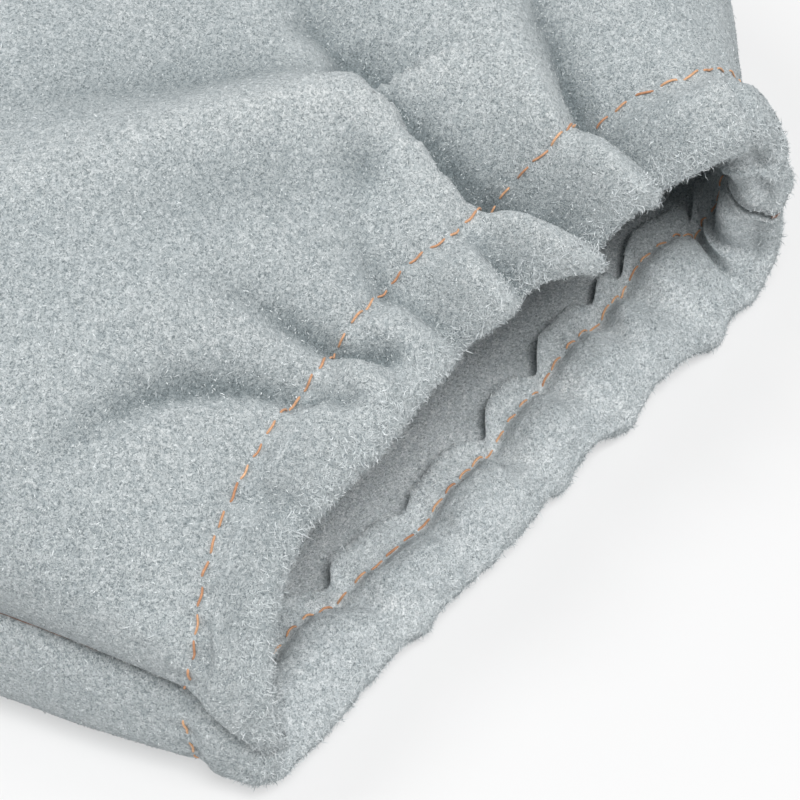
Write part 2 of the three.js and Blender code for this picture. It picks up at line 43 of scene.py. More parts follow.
# The sleeve's sizes in millimetres, the same as the frame's
LEATHER = 1.5
GAP = 0.3
SLEEVE_LENGTH = 400.0
WRIST_WIDTH = 116.5
WRIST_HEIGHT = 37.5
BODY_WIDTH = 199.5
BODY_HEIGHT = 64.0
ARM_WIDTH = 149.5
ARM_HEIGHT = 48.0
SEAM_HEIGHT = 22.0
WRIST_FLARE = 140.0
ARM_FLARE = 90.0
HEM_DEPTH = 13.0
HEM_FLAP = 3.6
ELASTIC_WIDTH = 6.5
ELASTIC_THICKNESS = 1.0
ELASTIC_FROM_RIM = 3.2
RIM_LAG = 9.5
CORNER_ROUND = 1.4
CORNER_ROUND_WIDTH = 5.5
SIDE_BULGE = 2.2
FOLD_DEPTH = 10.0
FOLD_WIDTH = 5.0
SEAM_CREASE = 2.4
SEAM_CREASE_WIDTH = 3.0
ARM_FOLD_LENGTH = 60.0
ARCH_POWER = 0.62
ARCH_WRIST_NEAR = 0.1
ARCH_WRIST_FAR = -0.26
WRIST_LEAN = 0.13
CORNER_SHARE = 0.16
CORNER_REACH = 0.34
PULL = 0.42

# Where along the rim these act, as shares of the way from the near seam to the far seam
RIM_BOW_RANGE = (0.05, 0.88)
RIM_BOW_LOSS = 0.45
RIM_BOW_LOSS_RANGE = (0.58, 0.88)
NEAR_CORNER_PLACE = 0.045
FAR_CORNER_RANGE = (0.75, 0.95)
FAR_CORNER_SHARE = 0.8
CORNER_FADE_RANGE = (0.0, 0.02)
CORNER_ROUND_HEMS = 3
WRIST_LEAN_RANGE = (0.35, 0.9)

HEM_SPACING = LEATHER + ELASTIC_THICKNESS + 2 * GAP
STITCHED_SPACING = LEATHER + GAP
RIM_RADIUS = LEATHER / 2 + GAP
ELASTIC_END = ELASTIC_FROM_RIM + ELASTIC_WIDTH

# How the section opens from each end: along, near side, far side, crown, near seam, far seam.
# All but the first are shares of the way from the end's size to the body's, or of the seam height.
WRIST_SECTIONS = np.array([
    (0, 0, 0, 0, 0.42, 0.85),
    (0.045, 0.015, 0.02, 0.07, 0.7, 0.87),
    (0.093, 0.07, 0.12, 0.12, 0.8, 0.9),
    (0.25, 0.27, 0.62, 0.64, 0.95, 0.95),
    (0.46, 0.56, 0.86, 0.9, 1, 1),
    (0.71, 0.83, 0.97, 1, 1, 1),
    (1, 1, 1, 1, 1, 1),
], float)
ARM_SECTIONS = np.array([
    (0, 0, 0, 0, 0.75, 0.75),
    (0.15, 0.12, 0.12, 0.15, 0.8, 0.8),
    (0.4, 0.5, 0.5, 0.5, 0.9, 0.9),
    (0.7, 0.86, 0.86, 0.88, 1, 1),
    (1, 1, 1, 1, 1, 1),
], float)

# Hem at the wrist: across, how far the rim stands back, how far the stitch line comes forward
HEM_LINES = {
    "top": np.array([
        (0, 0, 0.2),
        (0.035, 0, 0.38),
        (0.07, 0, 0.45),
        (0.12, 0, 0.44),
        (0.2, 0, 0.34),
        (0.3, -0.08, 0.2),
        (0.4, 0, 0.05),
        (0.45, 0.05, 0.02),
        (0.5, -0.05, 0.18),
        (0.54, 0, 0.15),
        (0.6, -0.38, 0.02),
        (0.65, -0.14, 0.18),
        (0.7, -0.2, 0.06),
        (0.75, 0.05, 0.04),
        (0.82, -0.08, 0.3),
        (0.9, 0, 0.24),
        (1, 0, 0.19),
    ], float),
    "bottom": np.array([
        (0, 0, 0.2),
        (0.035, -0.12, 0.38),
        (0.07, -0.05, 0.45),
        (0.12, -0.1, 0.38),
        (0.2, -0.02, 0.17),
        (0.25, 0, 0.12),
        (0.34, -0.05, 0.29),
        (0.45, -0.08, 0.24),
        (0.55, 0, 0.1),
        (0.62, 0, 0),
        (0.7, 0, -0.04),
        (0.76, -0.05, -0.15),
        (0.85, 0, 0),
        (1, 0, 0.19),
    ], float),
}

# Folds at the wrist: (across, along) of four points, depth, left and right width, start, hold.
# A negative depth is a ridge.
TOP_FOLDS = [
    ((0.1, -0.03), (0.115, 0.03), (0.12, 0.06), (0.115, 0.13), 0.12, 0.6, 0.6, 0.5, 0.4),
    ((0.045, 0.075), (0.06, 0.07), (0.075, 0.06), (0.1, 0.055), 0.18, 0.5, 0.5, 0.6, 0.4),
    ((0.215, -0.03), (0.205, 0.04), (0.195, 0.09), (0.19, 0.16), 0.26, 0.9, 0.9, 1, 0.3),
    ((0.31, 0.04), (0.27, 0.16), (0.2, 0.21), (0.08, 0.26), 0.46, 0.36, 0.6, 0.75, 0.45),
    ((0.375, 0.035), (0.345, 0.1), (0.32, 0.17), (0.27, 0.26), 0.6, 0.32, 0.5, 0.9, 0.3),
    ((0.33, -0.03), (0.33, 0.01), (0.325, 0.04), (0.32, 0.08), -0.2, 1, 1, 1, 0.4),
    ((0.455, -0.03), (0.43, 0.06), (0.42, 0.12), (0.43, 0.19), 0.5, 0.5, 0.6, 0.75, 0.4),
    ((0.495, -0.03), (0.49, 0.01), (0.485, 0.04), (0.48, 0.1), -0.22, 0.6, 0.6, 1, 0.4),
    ((0.535, -0.03), (0.525, 0.03), (0.52, 0.08), (0.51, 0.16), 0.6, 0.5, 0.6, 0.8, 0.4),
    ((0.455, 0.19), (0.46, 0.18), (0.47, 0.175), (0.485, 0.16), 0.25, 0.7, 0.7, 0.8, 0.5),
    ((0.63, -0.03), (0.625, 0.11), (0.42, 0.14), (0.56, 0.52), 1.35, 0.4, 0.95, 0.35, 0.55),
    ((0.59, -0.03), (0.565, 0.06), (0.47, 0.14), (0.5, 0.45), -0.4, 1.3, 0.5, 0.5, 0.5),
    ((0.68, -0.03), (0.67, 0.09), (0.62, 0.17), (0.6, 0.34), -0.45, 0.8, 0.8, 1, 0.4),
    ((0.735, -0.03), (0.75, 0.09), (0.67, 0.14), (0.65, 0.4), 0.95, 0.5, 1.1, 0.8, 0.35),
    ((0.82, -0.03), (0.82, 0.04), (0.815, 0.1), (0.8, 0.2), -0.4, 1, 1, 1, 0.3),
    ((0.935, -0.03), (0.93, 0.06), (0.91, 0.16), (0.88, 0.36), 0.4, 0.8, 1, 0.6, 0.4),
    ((0.475, 0.235), (0.41, 0.28), (0.33, 0.35), (0.2, 0.5), -0.35, 0.7, 1.6, 0.6, 0.5),
    ((0.49, 0.3), (0.44, 0.34), (0.38, 0.42), (0.25, 0.58), 0.6, 1.2, 3, 0.9, 0.4),
    ((0.42, 0.19), (0.37, 0.23), (0.33, 0.29), (0.25, 0.36), 0.2, 1.6, 1.6, 0.5, 0.4),
]
BOTTOM_FOLDS = [
    ((0.12, 0.045), (0.35, 0.045), (0.65, 0.045), (0.94, 0.045), 0.4, 2.6, 2.6, 0.4, 0.8),
    ((0.12, -0.03), (0.12, 0.03), (0.12, 0.06), (0.11, 0.14), 0.15, 0.8, 0.8, 0.7, 0.4),
    ((0.31, -0.01), (0.285, 0.05), (0.283, 0.09), (0.28, 0.14), -0.3, 0.5, 0.5, 0.5, 0.35),
    ((0.385, 0), (0.395, 0.05), (0.405, 0.08), (0.41, 0.13), -0.22, 0.5, 0.5, 0.5, 0.35),
    ((0.53, -0.01), (0.505, 0.06), (0.505, 0.09), (0.51, 0.14), -0.34, 0.5, 0.5, 0.5, 0.35),
    ((0.65, -0.03), (0.61, 0.05), (0.595, 0.09), (0.58, 0.14), -0.36, 0.6, 0.6, 0.6, 0.35),
    ((0.7, 0.03), (0.695, 0.07), (0.69, 0.1), (0.69, 0.14), -0.25, 0.45, 0.45, 0.5, 0.35),
    ((0.805, -0.03), (0.77, 0.05), (0.74, 0.09), (0.72, 0.14), -0.36, 0.6, 0.6, 0.6, 0.35),
    ((0.87, -0.03), (0.86, 0.04), (0.85, 0.08), (0.84, 0.13), -0.22, 0.5, 0.5, 0.5, 0.35),
]
# Gathers at the arm end: across, depth, reach
TOP_ARM_FOLDS = [
    (0.08, 0.44, 0.9), (0.17, 0.32, 1.1), (0.3, 0.52, 0.7), (0.4, 0.36, 1), (0.52, 0.56, 1.2),
    (0.62, 0.34, 0.8), (0.74, 0.5, 1), (0.83, 0.38, 0.8), (0.93, 0.46, 1.1),
]
BOTTOM_ARM_FOLDS = [
    (0.07, 0.36, 0.8), (0.2, 0.46, 1), (0.36, 0.34, 0.7), (0.5, 0.52, 1.1), (0.65, 0.36, 0.8),
    (0.79, 0.48, 1), (0.93, 0.36, 0.7),
]
FOLDS = {"top": TOP_FOLDS, "bottom": BOTTOM_FOLDS}
ARM_FOLDS = {"top": TOP_ARM_FOLDS, "bottom": BOTTOM_ARM_FOLDS}
ARM_FOLD_START = 0.7
ARM_FOLD_HOLD = 0.35
ARM_FOLD_SIDE = 0.9
FOLD_STEPS = 12
SIDE_STEPS = 120
FOLD_RISE_RANGE = (0.0, 0.3)
FOLD_BLEND = 2.5
GROOVE_POWER = 1.5


def ease(a, b, x):
    """Smooth step from 0 at a to 1 at b."""
    t = np.clip((x - a) / (b - a), 0, 1)
    return t * t * (3 - 2 * t)


def mix(a, b, t):
    return a + (b - a) * t


def along(table, column, share):
    """Smooth curve through one column of a section table, with no overshoot."""
    x = table[:, 0]
    v = table[:, column]
    slope = np.diff(v) / np.diff(x)
    tangent = np.zeros(len(x))
    tangent[0] = slope[0]
    for i in range(1, len(x) - 1):
        if slope[i - 1] * slope[i] > 0:
            middle = (v[i + 1] - v[i - 1]) / (x[i + 1] - x[i - 1])
            tangent[i] = np.sign(middle) * min(abs(middle), 3 * min(abs(slope[i - 1]), abs(slope[i])))
    s = np.clip(share, 0, 1)
    i = np.clip(np.searchsorted(x, s, side="left") - 1, 0, len(x) - 2)
    h = x[i + 1] - x[i]
    t = (s - x[i]) / h
    rise = (2 * t**3 - 3 * t**2 + 1) * v[i] + (3 * t**2 - 2 * t**3) * v[i + 1]
    return rise + h * ((t**3 - 2 * t**2 + t) * tangent[i] + (t**3 - t**2) * tangent[i + 1])


def section_at(y):
    """Near and far half widths, crown height and the two seam heights."""
    w = [along(WRIST_SECTIONS, c, y / WRIST_FLARE) for c in range(1, 6)]
    a = [along(ARM_SECTIONS, c, (SLEEVE_LENGTH - y) / ARM_FLARE) for c in range(1, 6)]

    def size(c, wrist, body, arm):
        return body - (body - wrist) * (1 - w[c]) - (body - arm) * (1 - a[c])

    halves = [(v - LEATHER) / 2 for v in (WRIST_WIDTH, BODY_WIDTH, ARM_WIDTH)]
    near = size(0, *halves)
    far = size(1, *halves)
    crown = size(2, WRIST_HEIGHT, BODY_HEIGHT, ARM_HEIGHT) - LEATHER / 2
    return near, far, crown, SEAM_HEIGHT * w[3] * a[3], SEAM_HEIGHT * w[4] * a[4]


def smooth_point(panel, f, y):
    """Smooth section of a panel without its folds; f runs from the near seam to the far seam."""
    near, far, crown, near_seam, far_seam = section_at(y)
    at_wrist = 1 - ease(0, WRIST_FLARE / 2, y)
    if panel == "top":
        seam = mix(near_seam, far_seam, ease(0, 1, f))
        angle = np.pi * np.clip(f, 1e-4, 1 - 1e-4)
        power = ARCH_POWER + at_wrist * mix(ARCH_WRIST_NEAR, ARCH_WRIST_FAR, f)
        top = crown * (1 + WRIST_LEAN * at_wrist * ease(*WRIST_LEAN_RANGE, f))
        foot = seam + GAP / 2
        x = (far - near) / 2 - ((far + near) / 2) * np.cos(angle)
        return x, foot + (top - foot) * np.sin(angle) ** power
    reach = SEAM_HEIGHT * CORNER_REACH
    floor = LEATHER / 2
    side = np.minimum(f, 1 - f) / CORNER_SHARE
    angle = np.clip(side, 0, 1) * np.pi / 2
    inset = reach * (1 - np.cos(angle))
    rise = np.where(f < 0.5, near_seam, far_seam) - GAP / 2 - floor
    middle = (f - CORNER_SHARE) / (1 - 2 * CORNER_SHARE)
    inset = inset - SIDE_BULGE * np.sin(2 * angle) ** 2
    x = np.where(side >= 1, mix(reach - near, far - reach, middle),
                 np.where(f < 0.5, inset - near, far - inset))
    z = floor + np.where(side >= 1, 0, rise * (1 - np.sin(angle)))
    return x, z


def girth_table(panel):
    """f and the way round the panel to it, taken at the stitch line."""
    f = np.linspace(0, 1, SIDE_STEPS + 1)
    x, z = smooth_point(panel, f, np.full(len(f), HEM_DEPTH))
    steps = np.hypot(np.diff(x), np.diff(z))
    return f, np.concatenate([[0], np.cumsum(steps)])


GIRTHS = {panel: girth_table(panel) for panel in ("top", "bottom")}
GIRTH = {panel: GIRTHS[panel][1][-1] for panel in GIRTHS}


def side_at(panel, p):
    f, length = GIRTHS[panel]
    return np.interp(np.clip(p, 0, 1) * length[-1], length, f)


def outward(panel, f, y):
    """Outward direction of the smooth section."""
    step = 1e-3
    ax, az = smooth_point(panel, np.maximum(f - step, 0), y)
    bx, bz = smooth_point(panel, np.minimum(f + step, 1), y)
    length = np.hypot(bx - ax, bz - az)
    turn = 1 if panel == "top" else -1
    return -turn * (bz - az) / length, turn * (bx - ax) / length


def groove(distance):
    """Profile of a fold: rounded at its bottom, dying away to the sides."""
    return np.exp(-(distance**GROOVE_POWER))


def bell(distance, width, power=2):
    return np.exp(-((distance / width) ** power))


def fold_depth(fold, width, u, y):
    """Depth of one fold at a place of its panel, in millimetres of girth u and length y."""
    start, by, then, end, depth, left, right, first, hold = fold
    t = np.linspace(0, 1, FOLD_STEPS + 1)
    weights = ((1 - t) ** 3, 3 * t * (1 - t) ** 2, 3 * t * t * (1 - t), t**3)
    cu = sum(w * point[0] for w, point in zip(weights, (start, by, then, end))) * width
    cy = sum(w * point[1] for w, point in zip(weights, (start, by, then, end))) * WRIST_FLARE
    nearest = np.full(u.shape, np.inf)
    side = np.zeros(u.shape)
    steps = []
    for i in range(FOLD_STEPS):
        du, dy = cu[i + 1] - cu[i], cy[i + 1] - cy[i]
        k = np.clip(((u - cu[i]) * du + (y - cy[i]) * dy) / (du * du + dy * dy), 0, 1)
        distance = np.hypot(u - cu[i] - k * du, y - cy[i] - k * dy)
        closer = distance < nearest
        nearest = np.where(closer, distance, nearest)
        side = np.where(closer, (u - cu[i]) * dy - (y - cy[i]) * du, side)
        steps.append((distance, (i + k) / FOLD_STEPS))
    wide = FOLD_WIDTH * np.where(side > 0, right, left)
    total = 0
    weight_sum = 0
    for distance, share in steps:
        strength = mix(first, 1, ease(*FOLD_RISE_RANGE, share)) * (1 - ease(hold, 1, share))
        weight = np.exp((nearest - distance) / FOLD_BLEND)
        total = total + weight * strength * groove(distance / (wide * (1 + share / 2)))
        weight_sum = weight_sum + weight
    return FOLD_DEPTH * depth * total / weight_sum


def depth_at(panel, p, y):
    width = GIRTH[panel]
    u = p * width
    depth = np.zeros(u.shape)
    for fold in FOLDS[panel]:
        depth += fold_depth(fold, width, u, y)
    for across, deep, reach in ARM_FOLDS[panel]:
        run = ARM_FOLD_LENGTH * reach / WRIST_FLARE
        places = ((across, 0), (across, run / 4), (across, run / 2), (across, run))
        fold = (*places, deep, ARM_FOLD_SIDE, ARM_FOLD_SIDE, ARM_FOLD_START, ARM_FOLD_HOLD)
        depth += fold_depth(fold, width, u, SLEEVE_LENGTH - y)
    return depth * ease(0, FOLD_WIDTH, np.minimum(p, 1 - p) * width)


def leather_points(panel, p, y, out):
    """Points a distance out outside the middle of the outer wall, and the fold depth there."""
    f = side_at(panel, p)
    x, z = smooth_point(panel, f, y)
    nx, nz = outward(panel, f, y)
    width = GIRTH[panel]
    depth = depth_at(panel, p, y)
    crease = SEAM_CREASE * (np.exp(-p * width / SEAM_CREASE_WIDTH)
                            + np.exp(-(1 - p) * width / SEAM_CREASE_WIDTH))
    offset = out - depth - crease
    back = PULL * depth * (1 - ease(0, 2 * HEM_DEPTH, y))
    to_stitches = ease(0, HEM_DEPTH, y)
    back = back + HEM_DEPTH * along(HEM_LINES[panel], 1, p) * (1 - to_stitches)
    forward = HEM_DEPTH * along(HEM_LINES[panel], 2, p) * to_stitches
    back = back - forward * (1 - ease(HEM_DEPTH, WRIST_FLARE / 2, y))
    if panel == "top":
        bow = ease(*RIM_BOW_RANGE, np.sin(np.pi * f))
        bow = bow * (1 - RIM_BOW_LOSS * ease(*RIM_BOW_LOSS_RANGE, f))
        back = back + RIM_LAG * bow * (1 - ease(0, WRIST_FLARE / 2, y))
    else:
        from_corner = (p - NEAR_CORNER_PLACE) * width
        rounding = bell(from_corner, CORNER_ROUND_WIDTH) + FAR_CORNER_SHARE * ease(*FAR_CORNER_RANGE, p)
        fade = ease(*CORNER_FADE_RANGE, np.minimum(p, 1 - p))
        back = back + CORNER_ROUND * rounding * fade * (1 - ease(0, CORNER_ROUND_HEMS * HEM_DEPTH, y))
    return np.stack([x + nx * offset, y + back, z + nz * offset], -1), depth


LATTICE_CELLS = 64


def lattice_noise(u, v, seed):
    """Smooth noise from -1 to 1 on a lattice of unit cells."""
    size = LATTICE_CELLS
    table = np.random.default_rng(seed).uniform(-1, 1, (size, size))
    i, j = np.floor(u).astype(int), np.floor(v).astype(int)
    fu, fv = u - i, v - j
    fu, fv = fu * fu * (3 - 2 * fu), fv * fv * (3 - 2 * fv)
    a = table[i % size, j % size]
    b = table[(i + 1) % size, j % size]
    c = table[i % size, (j + 1) % size]
    d = table[(i + 1) % size, (j + 1) % size]
    return mix(mix(a, b, fu), mix(c, d, fu), fv)


# Stitches
STITCH_PITCH = 3.5
STITCH_LENGTH = 2.85
STITCH_LENGTH_RANGE = (0.86, 1.12)
STITCH_SHIFT = 0.07
STITCH_START = 0.5
STITCH_SLANT = 0.16
STITCH_LIFT = 0.26
STITCH_SINK = 0.38
STITCH_STEPS = 7
STITCH_TAPER = 0.25
THREAD_RADIUS = 0.17
THREAD_RADIUS_RANGE = (0.9, 1.1)
THREAD_SIDES = 6
SEAM_THREAD_RADIUS = 0.2
SEAM_THREAD_DEPTH = 0.35
SEAM_THREAD_SWELL = 0.25
SEAM_THREAD_TURN = 1.9

# Waves of the relief: height, length across, length along
SOFT_WAVES = ((0.5, 22, 27), (0.28, 8, 12))
GATHER_WAVES = ((0.5, 6.5, 20), (0.24, 3.1, 9))
# How far from the rim the soft waves come in, the gathers reach, and how weak these start
SOFT_RANGE = (4, 30)
GATHER_REACH = 17
GATHER_RANGE = (0, 5)
GATHER_AT_RIM = 0.45
LINE_DEPTH = 0.6
LINE_WIDTH = 1.25
PUCKER_HEIGHT = 0.3
PUCKER_WIDTH = 2.6
PUCKER_DRIFT = 2
PUCKER_DRIFT_LENGTH = 15
CHANNEL_HEIGHT = 0.8
CHANNEL_WIDTH = 4.0
RELIEF_SEEDS = {"top": 3, "bottom": 7}
LAYER_SEED_STEP = 20


def relief(panel, p, rim, y, layer):
    """Height of the fine wrinkles, the sunk stitch line and its puckers, in millimetres."""
    u = p * GIRTH[panel]
    seed = RELIEF_SEEDS[panel] + LAYER_SEED_STEP * layer
    soft = 0
    for k, (height, across, lengthwise) in enumerate(SOFT_WAVES):
        soft = soft + height * lattice_noise(u / across, y / lengthwise, seed + k)
    soft = soft * ease(*SOFT_RANGE, rim)
    gather = 0
    for k, (height, across, lengthwise) in enumerate(GATHER_WAVES, len(SOFT_WAVES)):
        gather = gather + height * (1 - 2 * np.abs(lattice_noise(u / across, y / lengthwise, seed + k)))
    gather = gather * np.exp(-np.maximum(rim - HEM_DEPTH, 0) / GATHER_REACH)
    gather = gather * mix(GATHER_AT_RIM, 1, ease(*GATHER_RANGE, rim))
    line = -LINE_DEPTH * bell(rim - HEM_DEPTH, LINE_WIDTH)
    drift = lattice_noise(u / PUCKER_DRIFT_LENGTH, y * 0, seed + len(SOFT_WAVES + GATHER_WAVES))
    pucker = PUCKER_HEIGHT * np.cos(2 * np.pi * u / STITCH_PITCH + PUCKER_DRIFT * drift)
    pucker = pucker * bell(rim - HEM_DEPTH, PUCKER_WIDTH)
    channel = CHANNEL_HEIGHT * bell(rim - 0.5 * HEM_DEPTH, CHANNEL_WIDTH)
    return soft + gather + line + pucker + channel


# Gathers that draw the hem in: across, strength
GATHERS = {
    "top": (
        (0.2, 0.7), (0.37, 0.9), (0.455, 0.8), (0.535, 1), (0.63, 1), (0.735, 1), (0.85, 0.8),
    ),
    "bottom": (
        (0.14, 0.7), (0.285, 1), (0.39, 0.6), (0.5, 1), (0.59, 1), (0.69, 0.7), (0.745, 1), (0.86, 0.8),
    ),
}
GATHER_WIDTH = 2.6

# Between the gathers the hem swells, more at its far end; at each it is drawn in. Swell and pinch
# act inside, puff and pucker outside; the places are shares of the hem's depth from the rim.
HEM_SWELL = 0.5
FAR_SWELL = 2.6
HEM_PINCH = 1.3
SWELL_PLACE = 0.75
SWELL_WIDTH = 6.5
HEM_PUFF = 1.1
FAR_PUFF = 1.8
HEM_PUCKER = 0.9
PUFF_PLACE = 0.42
PUFF_WIDTH = 4.6
PUFF_POWER = 4
FAR_SWELL_RANGE = (0.72, 0.86)

# Raw edge of the flap: lobes between the gathers, small waves, how far it lifts off the wall, and the
# width of the painted shadow on the wall along it
FLAP_LOBE = 1.3
FLAP_PINCH = 3.6
FLAP_WAVE = 0.5
FLAP_WAVE_LENGTH = 5
FLAP_LIFT = 0.8
FLAP_LIFT_WAVE = 0.6
FLAP_LIFT_LENGTH = 7
FLAP_CURL = 0.5
CONTACT_SHADOW_WIDTH = 1.3
WAVE_SEEDS = {"top": 31, "bottom": 33}
WAVE_ROW = 3.3
LIFT_SEED = 35
LIFT_ROW = 8.1

# How far the leather has turned at a hem, in radians: below the first it faces out, below the
# second it still looks outwards, above the third it faces into the sleeve
FACES_OUT = 0.1
LOOKS_OUT = 1.6
FACES_IN = 3.0

# Rows of a hem and of the body at full quality, and the least of them
FLAP_ROWS = (5, 3)
HEM_ROWS = (17, 8)
RIM_ROWS = (9, 5)
BODY_ROWS = 118
ARM_HEM_ROWS = 0.7
QUICK_ROWS = 0.6
BODY_ROW_SPREAD = 0.42
BODY_ROW_RANGE = (0.0, 0.9)
LAST_BODY_ROW = 0.993

SEAM_CALM = 3
SEAM_RELIEF = 0.25
INNER_RELIEF = 0.5
UNDERSIDE_RANGE = (0.08, 0.16)
UNDERSIDE_FROM_RIM = (10, 40)
INNER_FLOOR = 0.6


def pinch(p, panel):
    """1 where a gather draws the hem in, 0 between the gathers."""
    width = GIRTH[panel]
    drawn = [share * bell((p - across) * width, GATHER_WIDTH) for across, share in GATHERS[panel]]
    return np.clip(sum(drawn), 0, 1)


def row_count(rows, share):
    most, least = rows
    return max(int(most * share), least)


def hem_rows(share):
    """Rows of a hem from the raw edge round the rim to the stitch line: rim, out, turn."""
    rows = []
    for rim in np.linspace(HEM_DEPTH + HEM_FLAP, HEM_DEPTH, row_count(FLAP_ROWS, share))[:-1]:
        lift = (rim - HEM_DEPTH) / HEM_FLAP
        rows.append((rim, -STITCHED_SPACING - GAP * lift - FLAP_CURL * lift**2, math.pi))
    for rim in np.linspace(HEM_DEPTH, RIM_RADIUS, row_count(HEM_ROWS, share))[:-1]:
        if rim > ELASTIC_END:
            out = mix(-HEM_SPACING, -STITCHED_SPACING, float(ease(ELASTIC_END, HEM_DEPTH, rim)))
        else:
            out = mix(-2 * RIM_RADIUS, -HEM_SPACING, float(ease(RIM_RADIUS, ELASTIC_FROM_RIM, rim)))
        rows.append((rim, out, math.pi))
    for turn in np.linspace(math.pi, 0, row_count(RIM_ROWS, share)):
        rows.append((RIM_RADIUS * (1 - math.sin(turn)), RIM_RADIUS * (math.cos(turn) - 1), turn))
    for rim in np.linspace(RIM_RADIUS, HEM_DEPTH, row_count(HEM_ROWS, share))[1:]:
        rows.append((rim, 0.0, 0.0))
    return rows


def profile_rows(fine):
    """Rows of a panel from raw edge to raw edge: y, way, out, turn, distance from the rim."""
    count = 1.0 if fine else QUICK_ROWS
    rows = [(rim, 1.0, out, turn, rim) for rim, out, turn in hem_rows(count)]
    end = SLEEVE_LENGTH - HEM_DEPTH
    steps = np.linspace(0, 1, int(BODY_ROWS * count))[1:-1]
    spread = mix(BODY_ROW_SPREAD * steps, steps**2, ease(*BODY_ROW_RANGE, steps))
    spread = spread / spread[-1] * LAST_BODY_ROW
    for y in HEM_DEPTH + (end - HEM_DEPTH) * spread:
        rows.append((y, 1.0, 0.0, 0.0, min(y, SLEEVE_LENGTH - y)))
    arm_hem = hem_rows(ARM_HEM_ROWS * count)
    rows += [(SLEEVE_LENGTH - rim, -1.0, out, turn, rim) for rim, out, turn in reversed(arm_hem)]
    return np.array(rows)


def panel_layers(panel, columns, rows):
    """Outer and inner grid of a panel with its fine relief, and what is known of each point."""
    p = np.linspace(0, 1, columns + 1)
    P, Y = np.meshgrid(p, rows[:, 0])
    way, out, turn, rim = (np.repeat(rows[:, c][:, None], columns + 1, 1) for c in (1, 2, 3, 4))
    around = P * GIRTH[panel]
    inward = turn > FACES_IN
    at_wrist = way > 0
    drawn = pinch(P, panel) * at_wrist

    # the raw edge is scalloped and stands off the wall; painted shadow darkens the wall along it
    wave = lattice_noise(around / FLAP_WAVE_LENGTH, P * 0 + WAVE_ROW, WAVE_SEEDS[panel])
    lift = lattice_noise(around / FLAP_LIFT_LENGTH, P * 0 + LIFT_ROW, LIFT_SEED)
    past = np.clip((rim - HEM_DEPTH) / HEM_FLAP, 0, 1) * inward
    scallop = FLAP_LOBE - FLAP_PINCH * drawn + FLAP_WAVE * wave
    painted_contact_shadow = bell(rim - HEM_DEPTH - HEM_FLAP - scallop, CONTACT_SHADOW_WIDTH) * (turn < FACES_OUT)
    Y = Y + way * past * scallop
    out = out - past**2 * (FLAP_LIFT + FLAP_LIFT_WAVE * lift)

    outer_side = turn < LOOKS_OUT
    bumps = relief(panel, P, rim, Y, 0) * outer_side + relief(panel, P, rim, Y, 1) * ~outer_side
    far = ease(*FAR_SWELL_RANGE, P)
    swell = bell(rim - SWELL_PLACE * HEM_DEPTH, SWELL_WIDTH) * inward * at_wrist
    bumps = bumps + swell * (mix(HEM_SWELL, FAR_SWELL, far) * (1 - drawn) - HEM_PINCH * drawn)
    puff = bell(rim - PUFF_PLACE * HEM_DEPTH, PUFF_WIDTH, PUFF_POWER) * ~inward * at_wrist
    bumps = bumps + puff * (mix(HEM_PUFF, FAR_PUFF, far) * (1 - drawn) - HEM_PUCKER * drawn)
    bumps = bumps * mix(SEAM_RELIEF, 1, ease(0, SEAM_CALM, np.minimum(P, 1 - P) * GIRTH[panel]))

    flat = 0
    if panel == "bottom":
        # what lies on the floor stays flat
        underside = ease(*UNDERSIDE_RANGE, np.minimum(P, 1 - P)) * (turn < 1)
        flat = underside * ease(*UNDERSIDE_FROM_RIM, rim)
    layers = []
    for side, share, floor in ((1, 1, 0), (-1, INNER_RELIEF, LEATHER * INNER_FLOOR)):
        reach = side * LEATHER / 2 + bumps * (1 - flat) * share
        points, depth = leather_points(panel, P, Y - way * reach * np.sin(turn),
                                       out + reach * np.cos(turn))
        if panel == "bottom":
            points[..., 2] = np.maximum(points[..., 2], floor)
        layers.append(points)
    return {"outer": layers[0], "inner": layers[1], "depth": depth, "rim": rim, "turn": turn,
            "painted_contact_shadow": painted_contact_shadow}


def grid_faces(rows, columns, offset, flip):
    i, j = np.meshgrid(np.arange(rows - 1), np.arange(columns - 1), indexing="ij")
    a = offset + (i * columns + j).ravel()
    b, c, d = a + 1, a + columns + 1, a + columns
    return np.stack([a, d, c, b] if flip else [a, b, c, d], 1)


def make_mesh(name, points, faces, smooth=True, values=None):
    """Mesh object from arrays: points in millimetres, faces as a list of index arrays."""
    mesh = bpy.data.meshes.new(name)
    loops = np.concatenate([f.ravel() for f in faces])
    sizes = np.concatenate([np.full(len(f), f.shape[1]) for f in faces])
    mesh.vertices.add(len(points))
    mesh.vertices.foreach_set("co", ((points - SHIFT) * MM).astype(np.float32).ravel())
    mesh.loops.add(len(loops))
    mesh.loops.foreach_set("vertex_index", loops.astype(np.int32))
    mesh.polygons.add(len(sizes))
    starts = np.concatenate([[0], np.cumsum(sizes)[:-1]])
    mesh.polygons.foreach_set("loop_start", starts.astype(np.int32))
    mesh.update(calc_edges=True)
    mesh.polygons.foreach_set("use_smooth", np.full(len(sizes), smooth))
    for key, data in (values or {}).items():
        layer = mesh.attributes.new(key, "FLOAT", "POINT")
        layer.data.foreach_set("value", data.astype(np.float32).ravel())
    mesh.validate()
    obj = bpy.data.objects.new(name, mesh)
    bpy.context.scene.collection.objects.link(obj)
    return obj


def grid_normals(grid, flip):
    n = np.cross(np.gradient(grid, axis=1), np.gradient(grid, axis=0))
    n = n / (np.linalg.norm(n, axis=2, keepdims=True) + 1e-12)
    return -n if flip else n


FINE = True
ROWS = profile_rows(FINE)
COLUMNS = {"top": 244, "bottom": 220} if FINE else {"top": 190, "bottom": 160}
LAYERS = {panel: panel_layers(panel, COLUMNS[panel], ROWS) for panel in COLUMNS}
every = np.concatenate([layers["outer"].reshape(-1, 3) for layers in LAYERS.values()])
SHIFT = np.array([*((every.min(0) + every.max(0)) / 2)[:2], 0.0])


